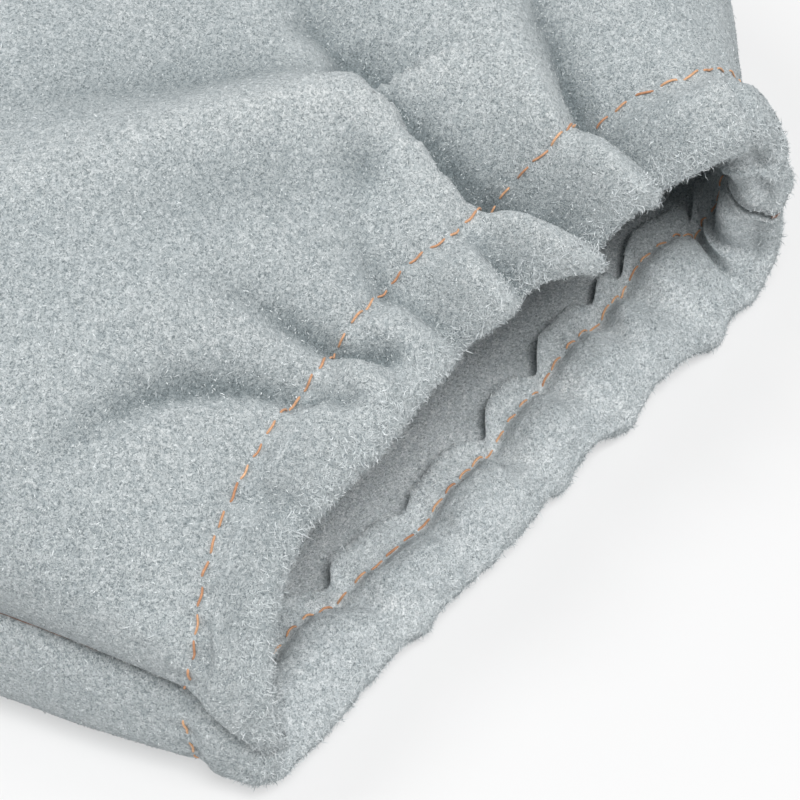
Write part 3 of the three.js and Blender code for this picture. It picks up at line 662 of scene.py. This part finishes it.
def smeared(grid, reach):
    """The grid averaged over a number of cells each way, twice."""
    for _ in range(2):
        for axis in (0, 1):
            pad = [(0, 0), (0, 0)]
            pad[axis] = (reach + 1, reach)
            total = np.cumsum(np.pad(grid, pad, mode="edge"), axis=axis)
            size = grid.shape[axis]
            high = np.take(total, np.arange(size) + 2 * reach + 1, axis=axis)
            grid = (high - np.take(total, np.arange(size), axis=axis)) / (2 * reach + 1)
    return grid


# Reaches over which a point is compared with the leather round it, and how much each counts, for the
# painted shade in valleys and the painted highlight on ridges
TIGHT_REACH = 1.3
TIGHT_SHARE = 0.25
NEAR_REACH = 2.8
NEAR_SHARE = 0.52
WIDE_REACH = 8
WIDE_SHARE = 0.06
PAINTED_SHADING_RANGE = (-1, 1.6)


def painted_fold_shading(panel):
    """How far a point lies below the leather round it: above 0 in a valley, below 0 on a ridge; painted
    as shade in valleys and as a highlight on ridges.
    """
    depth = LAYERS[panel]["depth"]
    cells = COLUMNS[panel] / GIRTH[panel]

    def below(reach):
        return depth - smeared(depth, max(int(reach * cells), 1))

    fold_shading = TIGHT_SHARE * np.maximum(below(TIGHT_REACH), 0)
    fold_shading = fold_shading + NEAR_SHARE * below(NEAR_REACH) + WIDE_SHARE * below(WIDE_REACH)
    return np.clip(fold_shading, *PAINTED_SHADING_RANGE)


# Share of the painted light that brightens the turned-in leather of the hems; the walls inside get all
# of it
HEM_PAINTED_LIGHT = 0.55


def make_panel(panel):
    layers = LAYERS[panel]
    turn = layers["turn"]
    rows, columns = turn.shape
    flip = panel == "bottom"
    count = rows * columns
    points = np.concatenate([layers["outer"].reshape(-1, 3), layers["inner"].reshape(-1, 3)])
    faces = [grid_faces(rows, columns, 0, flip), grid_faces(rows, columns, count, not flip)]
    top_row = np.arange(columns - 1)
    last_row = (rows - 1) * columns + top_row
    left = np.arange(rows - 1) * columns
    right = left + columns - 1
    rims = [
        np.stack([top_row, top_row + count, top_row + count + 1, top_row + 1], 1),
        np.stack([last_row + 1, last_row + count + 1, last_row + count, last_row], 1),
        np.stack([left + columns, left + columns + count, left + count, left], 1),
        np.stack([right, right + count, right + count + columns, right + columns], 1),
    ]
    faces += [f[:, ::-1] for f in rims] if flip else rims
    # painted light on the turned-in hems and, fully, on the walls inside
    painted_inner_light = np.concatenate([HEM_PAINTED_LIGHT * (turn > math.pi / 2).ravel(), np.ones(count)])
    # painted shade and highlight of the folds outside, painted shadow along the flap's raw edge inside
    deep = np.concatenate([painted_fold_shading(panel).ravel(), layers["painted_contact_shadow"].ravel()])
    obj = make_mesh(panel + "_leather", points, faces, True, {"painted_shading": deep, "painted_inner_light": painted_inner_light})
    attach(obj, "root")
    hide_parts(panel + "_panel")
    return obj


panels = {panel: make_panel(panel) for panel in ("top", "bottom")}


# Thread: stitches round both hems, outside and inside, and the seams. The seam thread ends where
# the leather has turned this far round the rim; the flap has turned right round.
SEAM_TURN = 2.4
FLAP_TURN = 3.1
# The stitches stop this many columns short of the seams
SEAM_COLUMNS = 2


def row_index(rim, outside, wrist):
    """The row that lies nearest to a distance from the rim, on the wall or on the flap."""
    wall = (ROWS[:, 3] < FACES_OUT) if outside else (ROWS[:, 3] > FLAP_TURN)
    end = ROWS[:, 0] < SLEEVE_LENGTH / 2
    pick = wall & (end if wrist else ~end)
    index = np.where(pick)[0]
    return index[np.argmin(np.abs(ROWS[index, 4] - rim))]


def ring_at(rim, outside, wrist):
    """Closed line round the sleeve on the leather's outer side, with its normals."""
    lines, normals = [], []
    for panel in ("top", "bottom"):
        grid = LAYERS[panel]["outer"]
        k = row_index(rim, outside, wrist)
        n = grid_normals(grid, panel == "bottom")
        keep = slice(SEAM_COLUMNS, -SEAM_COLUMNS)
        turn = slice(None, None, 1 if panel == "top" else -1)
        lines.append(grid[k, keep][turn])
        normals.append(n[k, keep][turn])
    return np.concatenate(lines), np.concatenate(normals)


def tube_along(paths, normals, radius, sides=THREAD_SIDES):
    """Joined tubes with closed ends along many short paths, (count, steps, 3)."""
    count, steps, _ = paths.shape
    tangent = np.gradient(paths, axis=1)
    tangent /= np.linalg.norm(tangent, axis=2, keepdims=True) + 1e-12
    across = np.cross(tangent, normals)
    across /= np.linalg.norm(across, axis=2, keepdims=True) + 1e-12
    up = np.cross(across, tangent)
    angle = np.linspace(0, 2 * np.pi, sides, endpoint=False)
    ring = across[:, :, None] * np.cos(angle)[:, None] + up[:, :, None] * np.sin(angle)[:, None]
    points = paths[:, :, None] + ring * radius[:, :, None, None]
    base = (np.arange(count) * steps * sides)[:, None, None]
    i = np.arange(steps - 1)[None, :, None] * sides
    j = np.arange(sides)[None, None, :]
    k = (j + 1) % sides
    quads = np.stack(np.broadcast_arrays(base + i + j, base + i + k, base + i + sides + k,
                                         base + i + sides + j), -1).reshape(-1, 4)
    start = base[:, 0] + np.arange(sides)[::-1]
    finish = base[:, 0] + (steps - 1) * sides + np.arange(sides)
    return points.reshape(-1, 3), [quads, start, finish]


def stitch_paths(line, normals):
    """Short arched paths, one a stitch, at the stitch pitch along a line."""
    length = np.concatenate([[0], np.cumsum(np.linalg.norm(np.diff(line, axis=0), axis=1))])
    count = int(length[-1] / STITCH_PITCH)
    starts = np.arange(count) + rng.uniform(-STITCH_SHIFT, STITCH_SHIFT, count)
    starts = starts * STITCH_PITCH + STITCH_START
    long = STITCH_LENGTH * rng.uniform(*STITCH_LENGTH_RANGE, count)
    t = np.linspace(0, 1, STITCH_STEPS)
    s = starts[:, None] + long[:, None] * t

    def at(values):
        return np.stack([np.interp(s, length, values[:, c]) for c in range(3)], -1)

    path, normal = at(line), at(normals)
    tangent = np.gradient(path, axis=1)
    side = np.cross(tangent, normal)
    side /= np.linalg.norm(side, axis=2, keepdims=True) + 1e-12
    from_middle = 2 * t - 1
    slant = rng.uniform(-STITCH_SLANT, STITCH_SLANT, count)[:, None] * from_middle
    height = STITCH_LIFT * (1 - from_middle**4) - STITCH_SINK * np.abs(from_middle) ** 5
    path = path + normal * height[..., None] + side * slant[..., None]
    radius = THREAD_RADIUS * (1 - STITCH_TAPER * from_middle**4)
    return path, normal, radius * rng.uniform(*THREAD_RADIUS_RANGE, count)[:, None]


def make_stitches(name, wrist):
    parts = [stitch_paths(*ring_at(HEM_DEPTH, outside, wrist)) for outside in (True, False)]
    paths, normals, radius = (np.concatenate([part[k] for part in parts]) for k in range(3))
    points, faces = tube_along(paths, normals, radius)
    tone = np.repeat(rng.uniform(0, 1, len(paths)), paths.shape[1] * THREAD_SIDES)
    obj = make_mesh(name, points, faces, True, {"tone": tone})
    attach(obj, "root")
    return obj


def make_seam_thread(name, near):
    """Thin thread down in the crease between the panels, from rim to rim."""
    column = 0 if near else -1
    keep = np.where(ROWS[:, 3] < SEAM_TURN)[0]

    def between_panels(layer):
        return (LAYERS["top"][layer][keep, column] + LAYERS["bottom"][layer][keep, column]) / 2

    line = between_panels("outer")
    inward = between_panels("inner") - line
    inward /= np.linalg.norm(inward, axis=1, keepdims=True)
    path = line + inward * SEAM_THREAD_DEPTH
    swell = SEAM_THREAD_SWELL * np.sin(np.arange(len(path)) * SEAM_THREAD_TURN)
    radius = SEAM_THREAD_RADIUS * (1 + swell)
    points, faces = tube_along(path[None], -inward[None], radius[None])
    obj = make_mesh(name, points, faces, True, {"tone": np.full(len(points), 0.5)})
    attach(obj, "root")
    return obj


threads = [
    make_stitches("wrist_stitches", True),
    make_stitches("arm_stitches", False),
    make_seam_thread("near_seam_thread", True),
    make_seam_thread("far_seam_thread", False),
]


# Elastic bands in the hems
ELASTIC_ROWS = 5
ELASTIC_COLUMNS = 91


def make_elastic(name, wrist, node):
    """Closed ring of tape in the channel of a hem, under both panels."""
    rims = np.linspace(ELASTIC_FROM_RIM, ELASTIC_END, ELASTIC_ROWS)
    y = rims if wrist else SLEEVE_LENGTH - rims[::-1]
    layers = []
    for side in (1, -1):
        halves = []
        for panel in ("top", "bottom"):
            p = np.linspace(0, 1, ELASTIC_COLUMNS)
            p = p if panel == "top" else p[::-1]
            P, Y = np.meshgrid(p, y)
            out = np.full(P.shape, (side * ELASTIC_THICKNESS - HEM_SPACING) / 2)
            halves.append(leather_points(panel, P, Y, out)[0])
        layers.append(np.concatenate(halves, 1))
    rows, columns = layers[0].shape[:2]
    count = rows * columns
    faces = []
    i = np.arange(rows - 1)[:, None] * columns
    j = np.arange(columns)
    following = (j + 1) % columns
    corners = np.broadcast_arrays(i + j, i + following, i + columns + following, i + columns + j)
    for k, flip in ((0, False), (1, True)):
        a, b, c, d = (k * count + v.ravel() for v in corners)
        faces.append(np.stack([a, d, c, b] if flip else [a, b, c, d], 1))
    last = (rows - 1) * columns
    faces.append(np.stack([j, j + count, following + count, following], 1))
    faces.append(np.stack([last + following, last + following + count, last + j + count, last + j], 1))
    obj = make_mesh(name, np.concatenate([v.reshape(-1, 3) for v in layers]), faces)
    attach(obj, "root")
    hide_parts(node)
    return obj


elastics = [
    make_elastic("wrist_band", True, "wrist_elastic"),
    make_elastic("arm_band", False, "arm_elastic"),
]


# Nap: short curled fibres that stand off the suede
FIBRE_LENGTH = 0.45
FIBRE_LENGTH_SPREAD = 0.34
FIBRE_LIFT = (0.12, 0.5)
FIBRE_BEND = 0.55
FIBRE_CURL = 0.25
FIBRE_RISE = 0.6
FIBRE_ROOT_DEPTH = 0.06
FIBRE_HALF_WIDTH = (0.035, 0.075)
FIBRE_TAPER = 0.9
FIBRE_ROLL = 0.6
FIBRE_POINTS = 5
FIBRE_HEIGHTS = (0.0, 0.0, 0.6, 0.6, 1.0)
# Fibres longer than usual stand up more and are thinner
LONG_LIFT = 1.3
SHORT_LIFT = 0.8
LONG_THINNING = 0.9
NAP_SHARE = {"top": 0.6, "bottom": 0.4}

# Where the nap is drawn: all over thinly, thickly at the wrist, most on the hem
THIN_COVER = 0.05
COVER_START = 25
COVER_FADE = 38
HEM_COVER = 0.5
HEM_COVER_POWER = 4
RIM_PLACE = 0.2
RIM_WIDTH = 1.3
RAW_EDGE_COVER = 0.5
RAW_EDGE_WIDTH = 0.8


def nap_roots(panel, count, cover, random):
    """Random places on the outer grid: points, normals and the direction along the sleeve."""
    layers = LAYERS[panel]
    grid = layers["outer"]
    normals = grid_normals(grid, panel == "bottom")
    edges = grid[1:, :-1] - grid[:-1, :-1], grid[:-1, 1:] - grid[:-1, :-1]
    area = np.linalg.norm(np.cross(*edges), axis=2)
    y = ROWS[:-1, 0][:, None]
    weight = area * cover(y, layers["rim"][:-1, :-1], layers["turn"][:-1, :-1])
    flat = np.cumsum(weight.ravel())
    pick = np.searchsorted(flat, random.uniform(0, flat[-1], count))
    pick = np.minimum(pick, weight.size - 1)
    i, j = np.unravel_index(pick, weight.shape)
    a, b = random.uniform(0, 1, (2, len(i), 1))

    def blend(g):
        return mix(mix(g[i, j], g[i + 1, j], a), mix(g[i, j + 1], g[i + 1, j + 1], a), b)

    return blend(grid), blend(normals), grid[i + 1, j] - grid[i, j]


def make_nap(name, count, cover, wild, darkest, seed):
    """Tapered ribbons of two segments; wild is how much longer than usual, darkest the least tone."""
    random = np.random.default_rng(seed)
    found = [nap_roots(panel, int(count * share), cover, random) for panel, share in NAP_SHARE.items()]
    root, up, lengthwise = (np.concatenate([part[k] for part in found]) for k in range(3))
    n = len(root)
    up /= np.linalg.norm(up, axis=1, keepdims=True)
    lengthwise -= up * (lengthwise * up).sum(1, keepdims=True)
    lengthwise /= np.linalg.norm(lengthwise, axis=1, keepdims=True) + 1e-12
    side = np.cross(lengthwise, up)
    heading = random.uniform(0, 2 * np.pi, (n, 1))
    way = lengthwise * np.cos(heading) + side * np.sin(heading)
    length = random.lognormal(math.log(FIBRE_LENGTH * wild), FIBRE_LENGTH_SPREAD, (n, 1))
    lift = random.uniform(*FIBRE_LIFT, (n, 1)) * (LONG_LIFT if wild > 1 else SHORT_LIFT)
    bend = random.normal(0, FIBRE_BEND, (n, 1))
    turned = way * np.cos(bend) + np.cross(way, up) * np.sin(bend)
    middle = root + (way * 0.5 + up * lift * FIBRE_RISE) * length
    tip = middle + (turned * 0.5 + up * (lift - FIBRE_CURL) * FIBRE_RISE) * length
    root = root - up * FIBRE_ROOT_DEPTH
    wide = random.uniform(*FIBRE_HALF_WIDTH, (n, 1)) * (LONG_THINNING if wild > 1 else 1.0)
    roll = random.uniform(-FIBRE_ROLL, FIBRE_ROLL, (n, 1))
    across = (np.cross(way, up) * np.cos(roll) + up * np.sin(roll)) * wide
    points = np.stack([root - across, root + across,
                       middle - across * FIBRE_TAPER, middle + across * FIBRE_TAPER, tip], 1)
    base = np.arange(n)[:, None] * FIBRE_POINTS
    faces = [base + np.array([[0, 1, 3, 2]]), base + np.array([[2, 3, 4]])]
    tone = np.repeat(random.uniform(darkest, 1, n), FIBRE_POINTS)
    height = np.tile(FIBRE_HEIGHTS, n)
    obj = make_mesh(name, points.reshape(-1, 3), faces, False, {"tone": tone, "height": height})
    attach(obj, "root")
    return obj


def near_wrist(y, rim, turn):
    wrist = np.exp(-np.maximum(y - COVER_START, 0) / COVER_FADE)
    return THIN_COVER + wrist * (1 + HEM_COVER * bell(rim, HEM_DEPTH, HEM_COVER_POWER))


def rims_only(y, rim, turn):
    fold = bell(rim - RIM_PLACE, RIM_WIDTH)
    raw_edge = (turn > FACES_IN) * bell(rim - HEM_DEPTH - HEM_FLAP, RAW_EDGE_WIDTH)
    return fold + RAW_EDGE_COVER * raw_edge


NAP_COUNT = 36000 if FINE else 20000
NAP_LAYERS = 3 if FINE else 2
NAP_SEED = 50
RIM_NAP_COUNT = 42000 if FINE else 34000
RIM_NAP_SEED = 60
RIM_NAP_WILD = 1.75
RIM_NAP_DARKEST = 0.3
naps = []
for k in range(NAP_LAYERS):
    naps.append(make_nap(f"nap_{k}", NAP_COUNT, near_wrist, 1.0, 0.0, NAP_SEED + k))
naps.append(make_nap("rim_nap", RIM_NAP_COUNT, rims_only, RIM_NAP_WILD, RIM_NAP_DARKEST, RIM_NAP_SEED))


# Materials
def new_material(name):
    material = bpy.data.materials.new(name)
    material.use_nodes = True
    tree = material.node_tree
    return material, tree, tree.nodes["Principled BSDF"]


def node(tree, kind, **inputs):
    made = tree.nodes.new(kind)
    for key, value in inputs.items():
        made.inputs[key.replace("_", " ")].default_value = value
    return made


def noise(tree, coords, scale, detail, rough, distortion=0.0):
    made = node(tree, "ShaderNodeTexNoise", Scale=scale, Detail=detail, Roughness=rough,
                Distortion=distortion)
    tree.links.new(coords, made.inputs["Vector"])
    return made.outputs["Fac"]


def ramp(tree, value, stops):
    made = tree.nodes.new("ShaderNodeValToRGB")
    while len(made.color_ramp.elements) < len(stops):
        made.color_ramp.elements.new(0.5)
    for element, (place, colour) in zip(made.color_ramp.elements, stops):
        element.position = place
        element.color = (*colour, 1)
    tree.links.new(value, made.inputs["Fac"])
    return made.outputs["Color"]


def blend_colours(tree, kind, amount, a, b):
    made = tree.nodes.new("ShaderNodeMix")
    made.data_type = "RGBA"
    made.blend_type = kind
    for value, key in ((amount, "Factor"), (a, "A"), (b, "B")):
        socket = made.inputs[key]
        if isinstance(value, bpy.types.NodeSocket):
            tree.links.new(value, socket)
        else:
            socket.default_value = value if isinstance(value, float) else (*value, 1)
    return made.outputs["Result"]


def attribute(tree, name):
    made = tree.nodes.new("ShaderNodeAttribute")
    made.attribute_name = name
    return made.outputs["Fac"]


def share_of(tree, value, full):
    """0 at 0 and 1 where the value reaches full."""
    made = node(tree, "ShaderNodeMapRange", From_Min=0.0, From_Max=full, To_Min=0.0, To_Max=1.0)
    tree.links.new(value, made.inputs["Value"])
    return made.outputs["Result"]


def bump(tree, height, strength, distance, before=None):
    made = node(tree, "ShaderNodeBump", Strength=strength, Distance=distance)
    tree.links.new(height, made.inputs["Height"])
    if before is not None:
        tree.links.new(before, made.inputs["Normal"])
    return made.outputs["Normal"]


# Colours of the suede: its fibres' tips, the leather and the gaps between the fibres, and what
# multiplies them in tufts and patches, as painted shade in valleys and painted highlight on ridges, and
# as painted light on the inner side
LIGHT = (0.62, 0.655, 0.665)
BASE = (0.43, 0.468, 0.48)
DARK = (0.19, 0.22, 0.228)
TUFT_DARK = (0.74, 0.765, 0.775)
TUFT_LIGHT = (1.16, 1.14, 1.13)
PATCH_DARK = (0.93, 0.945, 0.95)
PATCH_LIGHT = (1.04, 1.035, 1.03)
PAINTED_VALLEY_SHADE = (0.47, 0.505, 0.515)
PAINTED_RIDGE_HIGHLIGHT = (1.18, 1.16, 1.15)
INNER_PAINTED_LIGHT = (1.6, 1.56, 1.56)
FULL_PAINTED_SHADE = 1.2
FULL_PAINTED_HIGHLIGHT = -0.8


def suede_material():
    material, tree, shader = new_material("suede")
    coords = tree.nodes.new("ShaderNodeTexCoord").outputs["Object"]
    strands = noise(tree, coords, scale=3300, detail=4, rough=0.62, distortion=1.2)
    tufts = noise(tree, coords, scale=1250, detail=3, rough=0.6, distortion=0.9)
    patches = noise(tree, coords, scale=60, detail=3, rough=0.55)
    colour = ramp(tree, strands, [(0.36, DARK), (0.5, BASE), (0.64, LIGHT)])
    tuft = ramp(tree, tufts, [(0.35, TUFT_DARK), (0.65, TUFT_LIGHT)])
    colour = blend_colours(tree, "MULTIPLY", 0.9, colour, tuft)
    patch = ramp(tree, patches, [(0.35, PATCH_DARK), (0.65, PATCH_LIGHT)])
    colour = blend_colours(tree, "MULTIPLY", 0.5, colour, patch)
    # painted shade in the folds and along the flap's raw edge, painted highlight on ridges
    painted_shading = attribute(tree, "painted_shading")
    colour = blend_colours(tree, "MULTIPLY", share_of(tree, painted_shading, FULL_PAINTED_SHADE), colour, PAINTED_VALLEY_SHADE)
    colour = blend_colours(tree, "MULTIPLY", share_of(tree, painted_shading, FULL_PAINTED_HIGHLIGHT), colour, PAINTED_RIDGE_HIGHLIGHT)
    # painted light on the inner walls and turned-in hems
    colour = blend_colours(tree, "MULTIPLY", attribute(tree, "painted_inner_light"), colour, INNER_PAINTED_LIGHT)
    tree.links.new(colour, shader.inputs["Base Color"])
    shader.inputs["Roughness"].default_value = 0.96
    shader.inputs["Specular IOR Level"].default_value = 0.12
    shader.inputs["Sheen Weight"].default_value = 0.35
    shader.inputs["Sheen Roughness"].default_value = 0.6
    shader.inputs["Sheen Tint"].default_value = (0.9, 0.97, 1.0, 1)
    tufted = bump(tree, tufts, strength=0.75, distance=0.28 * MM)
    tree.links.new(bump(tree, strands, 0.9, 0.22 * MM, tufted), shader.inputs["Normal"])
    return material


FIBRE_DARK = (0.22, 0.25, 0.26)
FIBRE_BASE = (0.50, 0.535, 0.545)
FIBRE_LIGHT = (0.88, 0.905, 0.91)
FIBRE_ROOT = (0.72, 0.75, 0.76)
FIBRE_TIP = (1.1, 1.1, 1.1)


def nap_material():
    material, tree, shader = new_material("nap_fibre")
    tones = [(0.0, FIBRE_DARK), (0.45, FIBRE_BASE), (1.0, FIBRE_LIGHT)]
    tone = ramp(tree, attribute(tree, "tone"), tones)
    height = ramp(tree, attribute(tree, "height"), [(0.0, FIBRE_ROOT), (1.0, FIBRE_TIP)])
    tree.links.new(blend_colours(tree, "MULTIPLY", 1.0, tone, height), shader.inputs["Base Color"])
    shader.inputs["Roughness"].default_value = 0.9
    shader.inputs["Specular IOR Level"].default_value = 0.15
    return material


def thread_material(name, low, high):
    material, tree, shader = new_material(name)
    coords = tree.nodes.new("ShaderNodeTexCoord").outputs["Object"]
    colour = ramp(tree, attribute(tree, "tone"), [(0.0, low), (1.0, high)])
    fuzz = noise(tree, coords, scale=2600, detail=3, rough=0.6)
    shade = ramp(tree, fuzz, [(0.35, (0.7, 0.66, 0.62)), (0.65, (1.1, 1.1, 1.1))])
    tree.links.new(blend_colours(tree, "MULTIPLY", 0.8, colour, shade), shader.inputs["Base Color"])
    shader.inputs["Roughness"].default_value = 0.65
    shader.inputs["Sheen Weight"].default_value = 0.2
    tree.links.new(bump(tree, fuzz, strength=0.5, distance=0.1 * MM), shader.inputs["Normal"])
    return material


def elastic_material():
    material, tree, shader = new_material("elastic_tape")
    coords = tree.nodes.new("ShaderNodeTexCoord").outputs["Object"]
    weave = node(tree, "ShaderNodeTexWave", Scale=900.0, Distortion=0.4)
    tree.links.new(coords, weave.inputs["Vector"])
    colour = ramp(tree, weave.outputs["Fac"], [(0.2, (0.62, 0.61, 0.57)), (0.8, (0.8, 0.79, 0.75))])
    tree.links.new(colour, shader.inputs["Base Color"])
    shader.inputs["Roughness"].default_value = 0.8
    woven = bump(tree, weave.outputs["Fac"], strength=0.5, distance=0.2 * MM)
    tree.links.new(woven, shader.inputs["Normal"])
    return material


def floor_material():
    material, tree, shader = new_material("pale_floor")
    coords = tree.nodes.new("ShaderNodeTexCoord").outputs["Object"]
    soft = noise(tree, coords, scale=3, detail=2, rough=0.5)
    pale = ramp(tree, soft, [(0.0, (0.39, 0.39, 0.39)), (1.0, (0.41, 0.41, 0.41))])
    tree.links.new(pale, shader.inputs["Base Color"])
    shader.inputs["Roughness"].default_value = 1.0
    shader.inputs["Specular IOR Level"].default_value = 0.0
    shader.inputs["Emission Color"].default_value = (1.0, 1.0, 1.0, 1.0)
    shader.inputs["Emission Strength"].default_value = 0.46
    return material


def paint(objects, material):
    for obj in objects:
        obj.data.materials.clear()
        obj.data.materials.append(material)


paint(panels.values(), suede_material())
paint(naps, nap_material())
paint(threads[:2], thread_material("orange_thread", (0.52, 0.25, 0.13), (0.80, 0.47, 0.27)))
paint(threads[2:], thread_material("seam_thread", (0.20, 0.11, 0.08), (0.30, 0.16, 0.11)))
paint(elastics, elastic_material())


# Floor, light and camera
FLOOR_REACH = 4.0
FLOOR_DEPTH = 0.2 * MM
floor = bpy.data.objects.new("floor", bpy.data.meshes.new("floor"))
corners = ((-1, -1), (1, -1), (1, 1), (-1, 1))
floor_corners = [(x * FLOOR_REACH, y * FLOOR_REACH, -FLOOR_DEPTH) for x, y in corners]
floor.data.from_pydata(floor_corners, [], [(0, 1, 2, 3)])
bpy.context.scene.collection.objects.link(floor)
paint([floor], floor_material())


def soft_box(place, target, size, power):
    data = bpy.data.lights.new("soft_box", "AREA")
    data.shape = "DISK"
    data.size = size
    data.energy = power
    light = bpy.data.objects.new("soft_box", data)
    bpy.context.scene.collection.objects.link(light)
    light.location = place
    light.rotation_mode = "QUATERNION"
    light.rotation_quaternion = (Vector(target) - Vector(place)).to_track_quat("-Z", "Y")


# In metres and watts
cuff = (0, -0.19, 0.02)
body = (-0.03, -0.04, 0.06)
soft_box((-0.3, -0.6, 1.1), cuff, size=0.6, power=11.0)
soft_box((0.55, -0.7, 0.9), cuff, size=0.5, power=2.4)
soft_box((-0.35, 0.35, 0.9), body, size=0.4, power=3.0)

world = bpy.data.worlds.new("studio")
world.use_nodes = True
background = world.node_tree.nodes["Background"]
background.inputs["Color"].default_value = (0.98, 0.99, 1.0, 1)
background.inputs["Strength"].default_value = 0.29
bpy.context.scene.world = world

CAMERA_AZIMUTH = -50.0
CAMERA_ELEVATION = 50.0
CAMERA_DISTANCE = 324.0
CAMERA_AIM = np.array([4.5, 29.3, 0.0])
CAMERA_LENS = 100
azimuth = math.radians(CAMERA_AZIMUTH)
elevation = math.radians(CAMERA_ELEVATION)
back = Vector((math.sin(azimuth) * math.cos(elevation), -math.cos(azimuth) * math.cos(elevation),
               math.sin(elevation)))
camera = bpy.data.objects.new("camera", bpy.data.cameras.new("camera"))
bpy.context.scene.collection.objects.link(camera)
camera.data.lens = CAMERA_LENS
camera.data.clip_start = 0.01
camera.location = Vector((CAMERA_AIM - SHIFT) * MM) + back * CAMERA_DISTANCE * MM
camera.rotation_mode = "QUATERNION"
camera.rotation_quaternion = (-back).to_track_quat("-Z", "Y")
bpy.context.scene.camera = camera
bpy.context.scene.view_settings.view_transform = "Standard"
